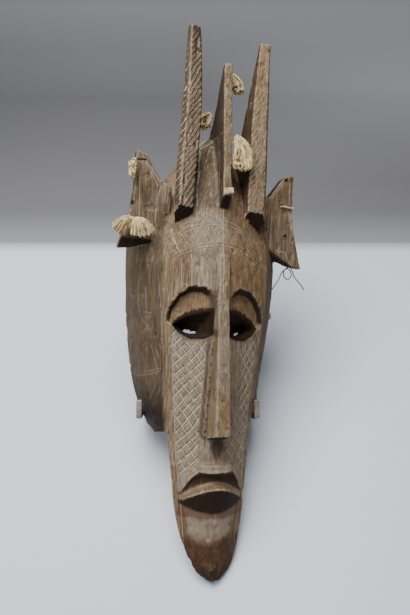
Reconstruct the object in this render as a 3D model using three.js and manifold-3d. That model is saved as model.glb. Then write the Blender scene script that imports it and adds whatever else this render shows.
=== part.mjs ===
// Carved gazelle mask with three fin horns, yarn tassels and the small steel cradle it leans in.
// Millimetres, +Z up, the mask looks towards -Y and lies back on the cradle.
import * as THREE from 'three';
import { mergeVertices } from 'three/addons/utils/BufferGeometryUtils.js';
import Module from 'manifold-3d';

const wasm = await Module();
wasm.setup();

// How the mask lies on its cradle: it leans back, is turned to its left and tips a little sideways
const LEAN = THREE.MathUtils.degToRad(45);
const TURN = THREE.MathUtils.degToRad(17);
const TIP = THREE.MathUtils.degToRad(3.8);
const MASK_ORIGIN = new THREE.Vector3(2, -84, 57.5);

// The open back of the shell is one flat cut, deeper on the viewer's left
const RIM_FRONT = -20;
const RIM_SKEW = 0.312;
const RIM_SLOPE = -0.0915;
const RIM_LEAN = THREE.MathUtils.degToRad(50);

const WALL = 11;
const FACE_WALL = 20;
const HOLLOW_FLOOR = 12;
const HOLLOW_TOP = 317;
const GAP = 0.35;

const CHIN_END = -134;
const SHELL_END = -15;
const CROWN_END = 334;
const BACK_DEPTH = -75;
// The underside of the shell rises towards the face
const UNDERSIDE_BACK = -29;
const UNDERSIDE_SLOPE = 0.29;

// Cross sections of the long chin and of the shell, from below upwards. Each holds its height, the half
// width and depth of the face edge, the depth of the middle of the face, the half width and depth that
// the side swells towards, and the half width and depth at the back. Depth is measured forwards.
const CHIN_SECTIONS = [
  [CHIN_END, 7, 67, 71, 6.5, 65.2, 5, 64.8],
  [-131, 11.5, 66, 71.5, 10.5, 64, 8, 63.3],
  [-124, 18.6, 63, 72, 17, 60, 13, 58.5],
  [-115, 24.6, 58.5, 71, 23, 56, 16, 54.5],
  [-96, 31.3, 53, 67.5, 29, 45, 20, 41],
  [-66, 37.6, 47.5, 64.5, 30, 28, 22, 20],
  [-44, 39.5, 44, 62, 30, 16, 20, -5],
  [-22, 42.5, 38, 60.5, 30, 8, 18, -22],
  [-6, 43.8, 34, 59.2, 31, 6, 18, -24],
  [16, 46.2, 32.2, 58.7, 31, 6, 18, -24],
];
const SHELL_SECTIONS = [
  [SHELL_END, 43.6, 36, 60.2, 40, 9, 33, BACK_DEPTH],
  [-11, 44.2, 35.2, 60, 50, 8, 47, BACK_DEPTH],
  [0, 45.5, 33.5, 59.5, 57, 7, 57, BACK_DEPTH],
  [18, 47, 32.5, 59, 66, 4, 66, BACK_DEPTH],
  [45, 49, 31, 57, 76, 2, 74, BACK_DEPTH],
  [79, 51.5, 30, 54, 82, 2, 79, BACK_DEPTH],
  [113, 54, 29, 51, 88, 1, 82.5, BACK_DEPTH],
  [150, 56, 28, 49, 91, 0, 85, BACK_DEPTH],
  [181, 57, 26, 47, 91, -2, 87, BACK_DEPTH],
  [208, 56, 14, 41.5, 90, -6, 87.5, BACK_DEPTH],
  [223, 54, 5, 37, 88.5, -10, 86, BACK_DEPTH],
  [236, 52, 1, 33, 86, -13, 83, BACK_DEPTH],
  [250, 49, -3, 28.5, 80, -16, 75, BACK_DEPTH],
  [265, 44, -8, 23, 68, -20, 62, BACK_DEPTH],
  [282, 36, -14, 16, 53, -25, 47, BACK_DEPTH],
  [297, 29, -18, 9, 42, -30, 37, BACK_DEPTH],
  [312, 21, -22, 0, 31, -36, 25, BACK_DEPTH],
  [325, 11, -25, -10, 15, -40, 12, BACK_DEPTH],
  [CROWN_END, 3, -30, -20, 5, -45, 4, BACK_DEPTH],
];
const FACE_ROUNDNESS = 1.6;

// Points round one section: half the back, one side, and across the face
const BACK_STEPS = 2;
const SIDE_STEPS = 8;
const FACE_STEPS = 16;
const RING_STEPS = 2 * BACK_STEPS + 2 * SIDE_STEPS + FACE_STEPS;
const CHIN_LEVELS = 16;
const SHELL_LEVELS = 32;
const HOLLOW_LEVELS = 18;
// The chin drifts to the viewer's right towards its end
const CHIN_DRIFT = 2.8;
const CHIN_DRIFT_TOP = -55;

// Side horns: height, distance of the middle from the centre plane, half width, front depth, thickness
const LEFT_HORN = [
  [237, 41.3, 9.9, 26.5, 32],
  [275, 41.1, 10.5, 25.5, 34],
  [330, 39.1, 10.5, 23.5, 22],
  [385, 39.6, 8.9, 21.5, 12],
  [426, 41.2, 6.8, 20.5, 6],
];
const RIGHT_HORN = [
  [239.5, 40.5, 12.4, 26.5, 32],
  [275, 40, 12, 25.5, 34],
  [345, 39.3, 11, 23, 20],
  [390, 39.7, 9, 21.5, 11],
  [425, 40.5, 7, 20, 5],
];
// The centre horn is a fin: its back edge falls away steeply to the crown
const CENTRE_HORN = [
  [249, 0, 5, 43.5, 24],
  [300, 0.4, 5, 33, 49],
  [335, 0.8, 5, 25.6, 54],
  [354, 1, 5, 21.8, 35],
  [380, 1.4, 4.9, 16.4, 20],
  [400, 1.8, 4.7, 12.5, 9],
];
// Side horns face outwards and carry a ridge nearer to their outer edge; the centre horn is square
const SIDE_HORN_TURN = THREE.MathUtils.degToRad(16);
const SIDE_HORN_RIDGE = 5;
const SIDE_HORN_RIDGE_SHIFT = 0.4;
const CENTRE_HORN_RIDGE = 0.8;
const HORN_BACK_SHARE = 0.75;
const HORN_FOOT_SLANT = 1.15;
const HORN_LEVELS = 12;

// Nose: a long ridge with sloping sides that grows out of the forehead
const NOSE_TOP = { up: 186, half: 5.2, front: 47.5, baseHalf: 6.2 };
const NOSE_BROW = { up: 135, half: 5.6, front: 55.5, baseHalf: 7 };
const NOSE_FOOT = { up: 9, half: 7.5, front: 78, baseHalf: 12.2 };
const NOSE_FOOT_DROP = 11;
const NOSE_DEPTH_INTO_FACE = 10;

const LIP_HALF = 30;
const UPPER_LIP_EDGE = -29.5;
const UPPER_LIP_DROOP = 20;
const UPPER_LIP_PROUD = 8;
const LOWER_LIP_EDGE = -43.6;
const LOWER_LIP_DROOP = 14;
const LOWER_LIP_PROUD = 10;
const LOWER_LIP_FOOT = -70.5;
const LIP_STEPS = 8;

// Eye opening and the sunk lid above it, outlined from the outer corner over the top to the nose
const EYE_OUTLINE = [
  [47, 112], [41, 119], [33, 125], [20, 130], [7, 131], [7, 104.5], [18, 99.5], [29, 99], [40, 104],
];
const LID_OUTLINE = [
  [52.5, 115], [50, 129], [42, 142.5], [31, 150.5], [19, 151], [8, 144], [8, 112], [45, 111],
];
const LID_TOP_DEPTH = 8;
const LID_FOOT_DEPTH = 2.5;
const LID_CENTRE = [26, 110];
const LID_UNDERCUT = 0.86;
// The eye tunnel narrows towards the hollow, so only a slit near its floor lets light through; the slit
// on the viewer's right is the smaller one
const EYE_TUNNEL_REACH = 60;
const EYE_TUNNEL_CENTRE = [24, 101.5];
const LEFT_TUNNEL_NARROWING = [0.4, 0.2];
const RIGHT_TUNNEL_NARROWING = [0.2, 0.18];

// Ear plate, outlined from inside the shell round the top to the pointed lower tip
const EAR_OUTLINE = [
  [52, 258], [63, 263], [80, 288], [92, 292], [92, 250], [94, 230], [105.5, 183.5],
  [92, 185], [76, 191], [52, 203],
];
// The lower ends differ: the left one sits higher, the right one reaches further out
const LEFT_EAR_LIFT = 5;
const RIGHT_EAR_SPREAD = 2.5;
const EAR_LIFT_TOP = 240;
const EAR_LIFT_SPAN = 60;
const EAR_FRONT = 9;
const EAR_BACK = -9;
const EAR_EDGE_BACK = 0;
const EAR_TIP_X = 105;

// Holes drilled for cords: distance out, height, on the ears and through the shell wall
const EAR_HOLES = [[80.5, 284], [77, 253], [84, 219]];
const CORD_HOLE_RADIUS = 1.7;

// Yarn tassels: where the knot sits on the mask, and half sizes across, front to back and in height
const TASSELS = {
  tassel_ear_upper: { x: -95.5, up: 268, front: 15.8, half: [5, 6, 13] },
  tassel_ear_lower: { x: -90, up: 209, front: 19.5, half: [23, 8, 12] },
  tassel_horns_left: { x: -15.5, up: 345, front: -18, half: [9, 8, 12] },
  tassel_horns_right: { x: 17.5, up: 386, front: -2, half: [9, 8, 12] },
  tassel_horn_front: { x: 17, up: 296, front: 34, half: [10.5, 9, 22] },
};

// Cradle: two cut steel side plates joined by round bars, each with a hook under the shell's flank.
// Distances along the rim and out from it are measured from where the rim's plane meets the floor.
const RIM_FLOOR_LINE = -122.5;
const PLATE = 5.5;
const PLATE_LEFTS = [-72, 62.6];
const PLATE_LENGTH = 235;
const PLATE_STRIP = 9;
const RUNNER_FRONT = -24;
const RUNNER_BACK = 84;
const RUNNER_TALL = 6;
const HOOK_BACK = -9;
const HOOK_FRONT = 37;
const HOOK_ARM_RISE = 6.5;
const HOOK_ARM_THICK = 4.5;
const HOOK_LIP_THICK = 4;
const HOOK_FROM = 70.5;
const HOOK_TOP = 96;
const HOOK_ROUND = 1.2;
// Each hook bends inwards on its way to the front
const HOOK_INWARDS = [5, -1.3];
const BAR_RADIUS = 4;
const REST_BAR = { along: 190, half: 86 };
const FLOOR_BARS = [-8, 76];

// Thin tube paths on the mask: across, up and forwards
const WIRE_RADIUS = 0.6;
const WIRE_HOLE_RADIUS = 1.15;
const WIRE_PATH = [
  [73, 148, -6], [79, 158, -4.5], [86, 170, -3], [90, 180, -2], [96, 184, 0], [100, 177, 1.5], [95, 171, 3],
  [89, 174, 4.5], [88, 181, 6], [94, 185, 7.5], [99, 180, 6], [103, 174, 4], [111, 168, 2], [119, 160.5, 0],
];
const WIRE_HOLE_END = [71.2, 145, -6.45];
const EAR_CORD_RADIUS = 0.9;
const EAR_CORD_PATH = [
  [77, 253, 2], [77, 253, 9.8], [78.4, 253.2, 11.1], [86, 253, 11.1], [91.5, 252.6, 11.1],
];
const HORN_CORD_UP = 252.6;
const HORN_CORD_DEPTH = 1.2;
const HORN_CORD_HEIGHT = 3.1;
const HORN_CORD_LENGTH = 9.6;
const HORN_CORD_CLEAR = 0.35;

function interpolate(rows) {
  const heights = rows.map((row) => row[0]);
  return new THREE.CubicInterpolant(heights, rows.flatMap((row) => row.slice(1)), rows[0].length - 1);
}

const chinCurve = interpolate(CHIN_SECTIONS);
const shellCurve = interpolate(SHELL_SECTIONS);

// A place on the mask: across, up and forwards, in the mask's own upright frame
function carve(x, up, front) {
  return new THREE.Vector3(x, -front, up);
}

function sectionOn(curve, up) {
  const [edge, edgeFront, midFront, side, sideFront, back, backFront] = curve.evaluate(up);
  return { edge, edgeFront, midFront, side, sideFront, back, backFront };
}

const chinSection = (up) => sectionOn(chinCurve, up);
const shellSection = (up) => sectionOn(shellCurve, up);

function drift(up) {
  return CHIN_DRIFT * THREE.MathUtils.smoothstep(-up, -CHIN_DRIFT_TOP, -CHIN_END);
}

// Depth of the plain face surface, before nose, lips and eyes
function faceFront(x, up) {
  const s = up < SHELL_END ? chinSection(up) : shellSection(up);
  const share = Math.min(Math.abs(x) / s.edge, 1);
  return s.edgeFront + (s.midFront - s.edgeFront) * (1 - share ** FACE_ROUNDNESS);
}

// Same section moved inwards by the thickness of the wall
function hollowSection(up) {
  const s = shellSection(up);
  return {
    edge: Math.max(s.edge - WALL, 2),
    edgeFront: s.edgeFront - FACE_WALL,
    midFront: s.midFront - FACE_WALL,
    side: Math.max(s.side - 1.4 * WALL, 3),
    sideFront: s.sideFront - WALL,
    back: Math.max(s.back - WALL, 3),
    backFront: 2 * BACK_DEPTH,
  };
}

// Point number `step` round a section, starting at the middle of the back
function ringPoint(s, step) {
  const mirrored = step > RING_STEPS / 2;
  const n = mirrored ? RING_STEPS - step : step;
  const sign = mirrored ? -1 : 1;
  if (n <= BACK_STEPS) {
    return [sign * s.back * (n / BACK_STEPS), s.backFront];
  }
  if (n <= BACK_STEPS + SIDE_STEPS) {
    const t = 1 - (n - BACK_STEPS) / SIDE_STEPS;
    const a = (1 - t) ** 2;
    const b = 2 * t * (1 - t);
    const c = t ** 2;
    return [
      sign * (a * s.edge + b * s.side + c * s.back),
      a * s.edgeFront + b * s.sideFront + c * s.backFront,
    ];
  }
  const share = 1 - (n - BACK_STEPS - SIDE_STEPS) / (FACE_STEPS / 2);
  const front = s.edgeFront + (s.midFront - s.edgeFront) * (1 - share ** FACE_ROUNDNESS);
  return [sign * share * s.edge, front];
}

// Moves every corner of a three.js geometry with a function
function warp(geometry, place) {
  const position = geometry.attributes.position;
  const corner = new THREE.Vector3();
  for (let i = 0; i < position.count; i += 1) {
    corner.fromBufferAttribute(position, i);
    const moved = place(corner);
    position.setXYZ(i, moved.x, moved.y, moved.z);
  }
  return geometry;
}

function toSolid(geometry) {
  const bare = geometry.clone();
  bare.deleteAttribute('normal');
  bare.deleteAttribute('uv');
  bare.clearGroups();
  const merged = mergeVertices(bare, 1e-3);
  const vertProperties = new Float32Array(merged.attributes.position.array);
  const triVerts = new Uint32Array(merged.index.array);
  const solid = new wasm.Manifold(new wasm.Mesh({ numProp: 3, vertProperties, triVerts }));
  return solid;
}

function toGeometry(solid) {
  const mesh = solid.getMesh();
  const geometry = new THREE.BufferGeometry();
  const positions = new Float32Array(mesh.numVert * 3);
  for (let i = 0; i < mesh.numVert; i += 1) {
    for (let axis = 0; axis < 3; axis += 1) {
      positions[3 * i + axis] = mesh.vertProperties[mesh.numProp * i + axis];
    }
  }
  geometry.setAttribute('position', new THREE.BufferAttribute(positions, 3));
  geometry.setIndex(new THREE.BufferAttribute(new Uint32Array(mesh.triVerts), 1));
  geometry.computeVertexNormals();
  return geometry;
}

// A cylinder whose rings are laid onto the mask's sections, with levels closer together at both ends
function sectionLoft(sectionOf, bottom, top, levels) {
  const cylinder = new THREE.CylinderGeometry(1, 1, 1, RING_STEPS, levels);
  return toSolid(warp(cylinder, (corner) => {
    const t = corner.y + 0.5;
    const eased = t - 0.1 * Math.sin(2 * Math.PI * t);
    const up = bottom + (top - bottom) * eased;
    const s = sectionOf(up);
    const radius = Math.hypot(corner.x, corner.z);
    if (radius < 0.5) {
      return carve(drift(up), up, (s.midFront + s.backFront) / 2);
    }
    const turn = (Math.atan2(corner.x, -corner.z) / (2 * Math.PI) + 1) % 1;
    const [x, front] = ringPoint(s, Math.round(turn * RING_STEPS) % RING_STEPS);
    return carve(x + drift(up), up, front);
  }));
}

// A closed prism with its outline in the face plane, from depth `back` to depth `front`
function facePrism(outline, side, back, front) {
  const shape = new THREE.Shape(outline.map(([x, up]) => new THREE.Vector2(side * x, up)));
  const prism = new THREE.ExtrudeGeometry(shape, { depth: 1, bevelEnabled: false, steps: 1 });
  return toSolid(warp(prism, (corner) => {
    const depth = corner.z > 0.5 ? front(corner.x, corner.y) : back(corner.x, corner.y);
    return carve(corner.x, corner.y, depth);
  }));
}

// A blade that follows its rows upwards; `facing` turns its front away from the centre plane
function hornSolid(rows, side, facing, ridge, ridgeShift) {
  const curve = interpolate(rows);
  const foot = rows[0][0];
  const tip = rows[rows.length - 1][0];
  const box = new THREE.BoxGeometry(2, 1, 1, 2, 1, HORN_LEVELS);
  return toSolid(warp(box, (corner) => {
    const level = corner.z + 0.5;
    const up = foot + (tip - foot) * level;
    const [middle, half, front, thick] = curve.evaluate(up);
    const isFront = corner.y < 0;
    const onRidge = Math.abs(corner.x) < 0.5;
    const across = onRidge ? side * ridgeShift * half : corner.x * half * (isFront ? 1 : HORN_BACK_SHARE);
    const forward = isFront ? (onRidge ? ridge : 0) : -thick;
    const x = across * Math.cos(facing) + side * forward * Math.sin(facing);
    const depth = forward * Math.cos(facing) - side * across * Math.sin(facing);
    const slant = level < 0.01 ? HORN_FOOT_SLANT * (depth - ridge) : 0;
    return carve(side * middle + x, up + slant, front + depth);
  }));
}

function noseSolid() {
  const rows = [NOSE_FOOT, NOSE_BROW, NOSE_TOP];
  const box = new THREE.BoxGeometry(2, 1, 2, 1, 1, 2);
  return toSolid(warp(box, (corner) => {
    const row = rows[Math.round(corner.z) + 1];
    if (corner.y < 0) {
      return carve(corner.x * row.half, row.up, row.front);
    }
    const drop = row === NOSE_FOOT ? NOSE_FOOT_DROP : 0;
    return carve(corner.x * row.baseHalf, row.up - drop, faceFront(0, row.up - drop) - NOSE_DEPTH_INTO_FACE);
  }));
}

// Upper lip: a shelf with a flat ledge above and an undercut that runs back to the mouth
function upperLipSolid() {
  const box = new THREE.BoxGeometry(2, 1, 1, LIP_STEPS, 1, 1);
  return toSolid(warp(box, (corner) => {
    const x = corner.x * LIP_HALF;
    const droop = Math.max(0, (Math.abs(corner.x) - 0.55) / 0.45) ** 1.5;
    const edge = UPPER_LIP_EDGE - UPPER_LIP_DROOP * droop;
    const proud = UPPER_LIP_PROUD * (1 - 0.8 * Math.abs(corner.x) ** 3);
    const surface = faceFront(x, edge);
    const isFront = corner.y < 0;
    const isTop = corner.z > 0;
    if (isFront) {
      return carve(x, isTop ? edge + 6.5 : edge, surface + (isTop ? 0.6 : 1) * proud);
    }
    return carve(x, isTop ? edge + 9 : edge - 11, surface - 7);
  }));
}

// Lower lip: a light upper band, then one long facet that falls back to the chin
function lowerLipSolid() {
  const box = new THREE.BoxGeometry(2, 1, 1, LIP_STEPS, 1, 1);
  return toSolid(warp(box, (corner) => {
    const x = corner.x * LIP_HALF;
    const bow = Math.abs(corner.x) ** 1.8;
    const edge = LOWER_LIP_EDGE - LOWER_LIP_DROOP * bow;
    const foot = LOWER_LIP_FOOT + 6 * bow;
    const proud = LOWER_LIP_PROUD * (1 - 0.55 * bow);
    const isFront = corner.y < 0;
    const isTop = corner.z > 0;
    const up = isTop ? edge + (isFront ? 0 : 5) : foot;
    const surface = faceFront(x, up);
    if (isFront) {
      return carve(x, up, surface + (isTop ? proud : 0.6));
    }
    return carve(x, up, surface - 8);
  }));
}

function lidCut(side) {
  const shape = new THREE.Shape(LID_OUTLINE.map(([x, up]) => new THREE.Vector2(side * x, up)));
  const prism = new THREE.ExtrudeGeometry(shape, { depth: 1, bevelEnabled: false, steps: 1 });
  const [centreX, centreUp] = LID_CENTRE;
  return toSolid(warp(prism, (corner) => {
    const depth = THREE.MathUtils.mapLinear(corner.y, 112, 149, LID_FOOT_DEPTH, LID_TOP_DEPTH);
    const surface = faceFront(corner.x, corner.y);
    const inner = corner.z < 0.5;
    const pull = inner ? LID_UNDERCUT : 1 / LID_UNDERCUT;
    const x = side * centreX + (corner.x - side * centreX) * pull;
    const up = centreUp + (corner.y - centreUp) * pull;
    return carve(x, up, inner ? surface - depth : surface + depth);
  }));
}

function eyeCut(side, [narrowX, narrowUp]) {
  const shape = new THREE.Shape(EYE_OUTLINE.map(([x, up]) => new THREE.Vector2(side * x, up)));
  const prism = new THREE.ExtrudeGeometry(shape, { depth: 3, bevelEnabled: false, steps: 3 });
  const [centreX, centreUp] = EYE_TUNNEL_CENTRE;
  return toSolid(warp(prism, (corner) => {
    const step = Math.round(corner.z);
    const surface = faceFront(corner.x, corner.y) - LID_FOOT_DEPTH;
    if (step > 1) {
      return carve(corner.x, corner.y, surface + (step - 2) * EYE_TUNNEL_REACH);
    }
    const x = side * centreX + (corner.x - side * centreX) * narrowX;
    const up = centreUp + (corner.y - centreUp) * narrowUp;
    return carve(x, up, surface - FACE_WALL - (1 - step) * EYE_TUNNEL_REACH);
  }));
}

function earSolid(side) {
  const backOf = (x) => {
    const share = THREE.MathUtils.smoothstep(Math.abs(x), 62, EAR_TIP_X);
    return THREE.MathUtils.lerp(EAR_BACK, EAR_EDGE_BACK, share);
  };
  const lift = side < 0 ? LEFT_EAR_LIFT : 0;
  const spread = side < 0 ? 0 : RIGHT_EAR_SPREAD;
  const outline = EAR_OUTLINE.map(([x, up]) => {
    const share = Math.max(0, (EAR_LIFT_TOP - up) / EAR_LIFT_SPAN);
    return [x + spread * share, up + lift * share];
  });
  return facePrism(outline, side, backOf, () => EAR_FRONT);
}

// Everything behind the flat rim
function behindRim() {
  const box = new THREE.BoxGeometry(500, 1, 900);
  return toSolid(warp(box, (corner) => {
    const rim = RIM_FRONT + RIM_SKEW * corner.x + RIM_SLOPE * corner.z;
    return carve(corner.x, corner.z, corner.y < 0 ? rim : rim + 3 * BACK_DEPTH);
  }));
}

// Everything below the shell's underside
function underShell() {
  const box = new THREE.BoxGeometry(400, 300, 100);
  return toSolid(warp(box, (corner) => {
    const up = SHELL_END + UNDERSIDE_SLOPE * (-corner.y - UNDERSIDE_BACK);
    return carve(corner.x, corner.z > 0 ? up : up - 200, -corner.y);
  }));
}

function cordHole(x, up, front, back) {
  const hole = new THREE.CylinderGeometry(CORD_HOLE_RADIUS, CORD_HOLE_RADIUS, front - back, 8);
  hole.translate(x, -(front + back) / 2, up);
  return toSolid(hole);
}

function maskSolid() {
  let wood = sectionLoft(shellSection, SHELL_END, CROWN_END, SHELL_LEVELS).subtract(underShell());
  wood = wood.add(sectionLoft(chinSection, CHIN_END, CHIN_SECTIONS.at(-1)[0], CHIN_LEVELS));
  wood = wood.add(hornSolid(LEFT_HORN, -1, SIDE_HORN_TURN, SIDE_HORN_RIDGE, SIDE_HORN_RIDGE_SHIFT));
  wood = wood.add(hornSolid(RIGHT_HORN, 1, SIDE_HORN_TURN, SIDE_HORN_RIDGE, SIDE_HORN_RIDGE_SHIFT));
  wood = wood.add(hornSolid(CENTRE_HORN, 1, 0, CENTRE_HORN_RIDGE, 0));
  for (const side of [-1, 1]) {
    wood = wood.add(earSolid(side));
    wood = wood.subtract(lidCut(side));
  }
  wood = wood.add(noseSolid());
  wood = wood.add(upperLipSolid());
  wood = wood.add(lowerLipSolid());
  wood = wood.subtract(sectionLoft(hollowSection, HOLLOW_FLOOR, HOLLOW_TOP, HOLLOW_LEVELS));
  wood = wood.subtract(eyeCut(-1, LEFT_TUNNEL_NARROWING));
  wood = wood.subtract(eyeCut(1, RIGHT_TUNNEL_NARROWING));
  for (const side of [-1, 1]) {
    for (const [x, up] of EAR_HOLES) {
      wood = wood.subtract(cordHole(side * x, up, 30, -30));
    }
  }
  return wood.subtract(behindRim());
}

// A knotted bunch of yarn as one plain closed lump, clear of the wood
function tasselSolid({ x, up, front, half }) {
  const lump = new THREE.SphereGeometry(1, 12, 8);
  return toSolid(warp(lump, (corner) => carve(
    x + corner.x * half[0],
    up + corner.y * half[2],
    front + corner.z * half[1],
  )));
}

// A tube along a path on the mask, with a closed end cap at both ends
function tubeSolid(points, section, segments) {
  const places = points.map(([x, up, front]) => carve(x, up, front));
  const path = new THREE.CatmullRomCurve3(places, false, 'centripetal');
  const tube = { steps: segments, bevelEnabled: false, extrudePath: path };
  return toSolid(new THREE.ExtrudeGeometry(new THREE.Shape(section), tube));
}

function ovalSection(halfA, halfB, sides) {
  const circle = new THREE.EllipseCurve(0, 0, halfA, halfB);
  return circle.getPoints(sides).slice(0, sides);
}

function hornCordSolid() {
  const [middle, , front] = interpolate(CENTRE_HORN).evaluate(HORN_CORD_UP);
  const ahead = front + CENTRE_HORN_RIDGE + GAP + HORN_CORD_DEPTH + HORN_CORD_CLEAR;
  const end = HORN_CORD_LENGTH / 2;
  const path = [[middle - end, HORN_CORD_UP - 1, ahead], [middle + end, HORN_CORD_UP + 1, ahead]];
  return tubeSolid(path, ovalSection(HORN_CORD_DEPTH, HORN_CORD_HEIGHT, 10), 2);
}

// A place beside the mask, in the cradle's side view: distance up along the rim and out from it
function besideRim(along, out) {
  return new THREE.Vector2(
    RIM_FLOOR_LINE + along * Math.sin(RIM_LEAN) - out * Math.cos(RIM_LEAN),
    along * Math.cos(RIM_LEAN) + out * Math.sin(RIM_LEAN),
  );
}

function sidePlateSolid(left) {
  const low = besideRim(HOOK_FROM, -GAP);
  const top = besideRim(PLATE_LENGTH, -GAP);
  const topBack = besideRim(PLATE_LENGTH, -GAP - PLATE_STRIP);
  const lowBack = besideRim(HOOK_FROM + 16, -GAP - PLATE_STRIP);
  const outline = new THREE.Shape([
    new THREE.Vector2(RUNNER_FRONT, 0),
    new THREE.Vector2(RUNNER_BACK, 0),
    new THREE.Vector2(RUNNER_BACK, RUNNER_TALL),
    new THREE.Vector2(topBack.x + PLATE_STRIP, topBack.y),
    top,
    low,
  ]);
  outline.holes.push(new THREE.Path([
    new THREE.Vector2(RUNNER_FRONT + 14, RUNNER_TALL),
    lowBack,
    new THREE.Vector2(topBack.x - 4, topBack.y - 7),
    new THREE.Vector2(RUNNER_BACK - 12, RUNNER_TALL),
  ]));
  const plate = new THREE.ExtrudeGeometry(outline, { depth: PLATE, bevelEnabled: false, steps: 1 });
  return toSolid(warp(plate, (corner) => new THREE.Vector3(left + corner.z, corner.x, corner.y)));
}

function hookSolid(left, inwards) {
  const armFront = HOOK_FROM + HOOK_ARM_RISE;
  const lipBack = HOOK_FRONT - HOOK_LIP_THICK;
  const outline = new THREE.Shape([
    new THREE.Vector2(HOOK_FROM, HOOK_BACK),
    new THREE.Vector2(HOOK_FROM + HOOK_ARM_THICK, HOOK_BACK),
    new THREE.Vector2(armFront + HOOK_ARM_THICK, lipBack),
    new THREE.Vector2(HOOK_TOP - HOOK_ROUND, lipBack),
    new THREE.Vector2(HOOK_TOP, lipBack + HOOK_ROUND),
    new THREE.Vector2(HOOK_TOP, HOOK_FRONT - HOOK_ROUND),
    new THREE.Vector2(HOOK_TOP - HOOK_ROUND, HOOK_FRONT),
    new THREE.Vector2(armFront + HOOK_ROUND, HOOK_FRONT),
    new THREE.Vector2(armFront, HOOK_FRONT - HOOK_ROUND),
  ]);
  const hook = new THREE.ExtrudeGeometry(outline, { depth: PLATE, bevelEnabled: false, steps: 1 });
  return toSolid(warp(hook, (corner) => {
    const place = besideRim(corner.x, corner.y);
    const share = (corner.y - HOOK_BACK) / (HOOK_FRONT - HOOK_BACK);
    return new THREE.Vector3(left + inwards * share + corner.z, place.x, place.y);
  }));
}

function barSolid(y, z, from, to) {
  const bar = new THREE.CylinderGeometry(BAR_RADIUS, BAR_RADIUS, to - from, 12);
  bar.rotateZ(Math.PI / 2);
  bar.translate((from + to) / 2, y, z);
  return toSolid(bar);
}

function standSolid() {
  const rest = besideRim(REST_BAR.along, -GAP - BAR_RADIUS);
  let steel = barSolid(rest.x, rest.y, -REST_BAR.half, REST_BAR.half);
  PLATE_LEFTS.forEach((left, i) => {
    steel = steel.add(sidePlateSolid(left)).add(hookSolid(left, HOOK_INWARDS[i]));
  });
  for (const y of FLOOR_BARS) {
    steel = steel.add(barSolid(y, BAR_RADIUS + 0.5, PLATE_LEFTS[0] + 1, PLATE_LEFTS[1] + 1));
  }
  return steel;
}

const WOOD = { color: 0x7d6b58, roughness: 0.75, metalness: 0 };
const YARN = { color: 0xe0caa0, roughness: 0.95, metalness: 0 };
const IRON = { color: 0x3a332c, roughness: 0.6, metalness: 1 };
const STEEL = { color: 0x8f867a, roughness: 0.45, metalness: 1 };

function meshOf(name, solid, look) {
  const mesh = new THREE.Mesh(toGeometry(solid), new THREE.MeshStandardMaterial(look));
  mesh.name = name;
  return mesh;
}

const scene = new THREE.Group();
const lean = new THREE.Group();
lean.position.copy(MASK_ORIGIN);
lean.rotation.x = -LEAN;
const tip = new THREE.Group();
tip.rotation.y = TIP;
const turned = new THREE.Group();
turned.rotation.z = TURN;
scene.add(lean);
lean.add(tip);
tip.add(turned);

const roundSection = (radius) => ovalSection(radius, radius, 8);
const wireHole = tubeSolid([WIRE_HOLE_END, ...WIRE_PATH], roundSection(WIRE_HOLE_RADIUS), 78);
turned.add(meshOf('mask', maskSolid().subtract(wireHole), WOOD));
for (const [name, tassel] of Object.entries(TASSELS)) {
  turned.add(meshOf(name, tasselSolid(tassel), YARN));
}
turned.add(meshOf('horn_cord', hornCordSolid(), YARN));
turned.add(meshOf('ear_cord', tubeSolid(EAR_CORD_PATH, roundSection(EAR_CORD_RADIUS), 18), YARN));
turned.add(meshOf('wire_tie', tubeSolid(WIRE_PATH, roundSection(WIRE_RADIUS), 72), IRON));
scene.add(meshOf('stand', standSolid(), STEEL));

// The origin is on the floor, under the middle of the whole piece
const bounds = new THREE.Box3().setFromObject(scene, true);
const middle = bounds.getCenter(new THREE.Vector3());
scene.position.set(-middle.x, -middle.y, -bounds.min.z);
const part = new THREE.Group();
part.add(scene);

export default part;
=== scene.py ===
"""Looks for a carved gazelle mask that leans in a small steel cradle.

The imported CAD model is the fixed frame. This script carves a fine wooden surface over the mask's solid,
lays the yarn of the tassels, gives every piece its material, and sets the camera, floor and light.
"""

import functools
import logging
import math
from dataclasses import dataclass
from enum import Enum

import bpy
import numpy as np
from bpy.types import ID, Material, Mesh, Node, NodeSocket, NodeTree, Object
from mathutils import Euler, Matrix, Vector
from mathutils.bvhtree import BVHTree


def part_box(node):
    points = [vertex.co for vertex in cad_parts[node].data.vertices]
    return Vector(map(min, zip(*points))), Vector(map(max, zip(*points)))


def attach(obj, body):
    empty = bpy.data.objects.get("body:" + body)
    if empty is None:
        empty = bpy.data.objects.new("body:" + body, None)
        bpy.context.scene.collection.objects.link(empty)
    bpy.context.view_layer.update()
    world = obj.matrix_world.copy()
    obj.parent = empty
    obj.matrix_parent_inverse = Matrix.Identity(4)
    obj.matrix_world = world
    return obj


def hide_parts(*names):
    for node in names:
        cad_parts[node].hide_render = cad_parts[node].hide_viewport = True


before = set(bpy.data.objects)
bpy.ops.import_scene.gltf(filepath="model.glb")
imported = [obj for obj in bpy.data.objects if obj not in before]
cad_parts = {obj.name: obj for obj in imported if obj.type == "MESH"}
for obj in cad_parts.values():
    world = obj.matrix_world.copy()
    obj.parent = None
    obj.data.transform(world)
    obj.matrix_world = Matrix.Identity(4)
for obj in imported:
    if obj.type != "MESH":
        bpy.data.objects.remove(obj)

LOG = logging.getLogger("gazelle_mask")
MM = 0.001


class Slot(Enum):
    """Names of two material slots of the record."""

    WOOD = "wood"
    YARN = "yarn"


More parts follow.
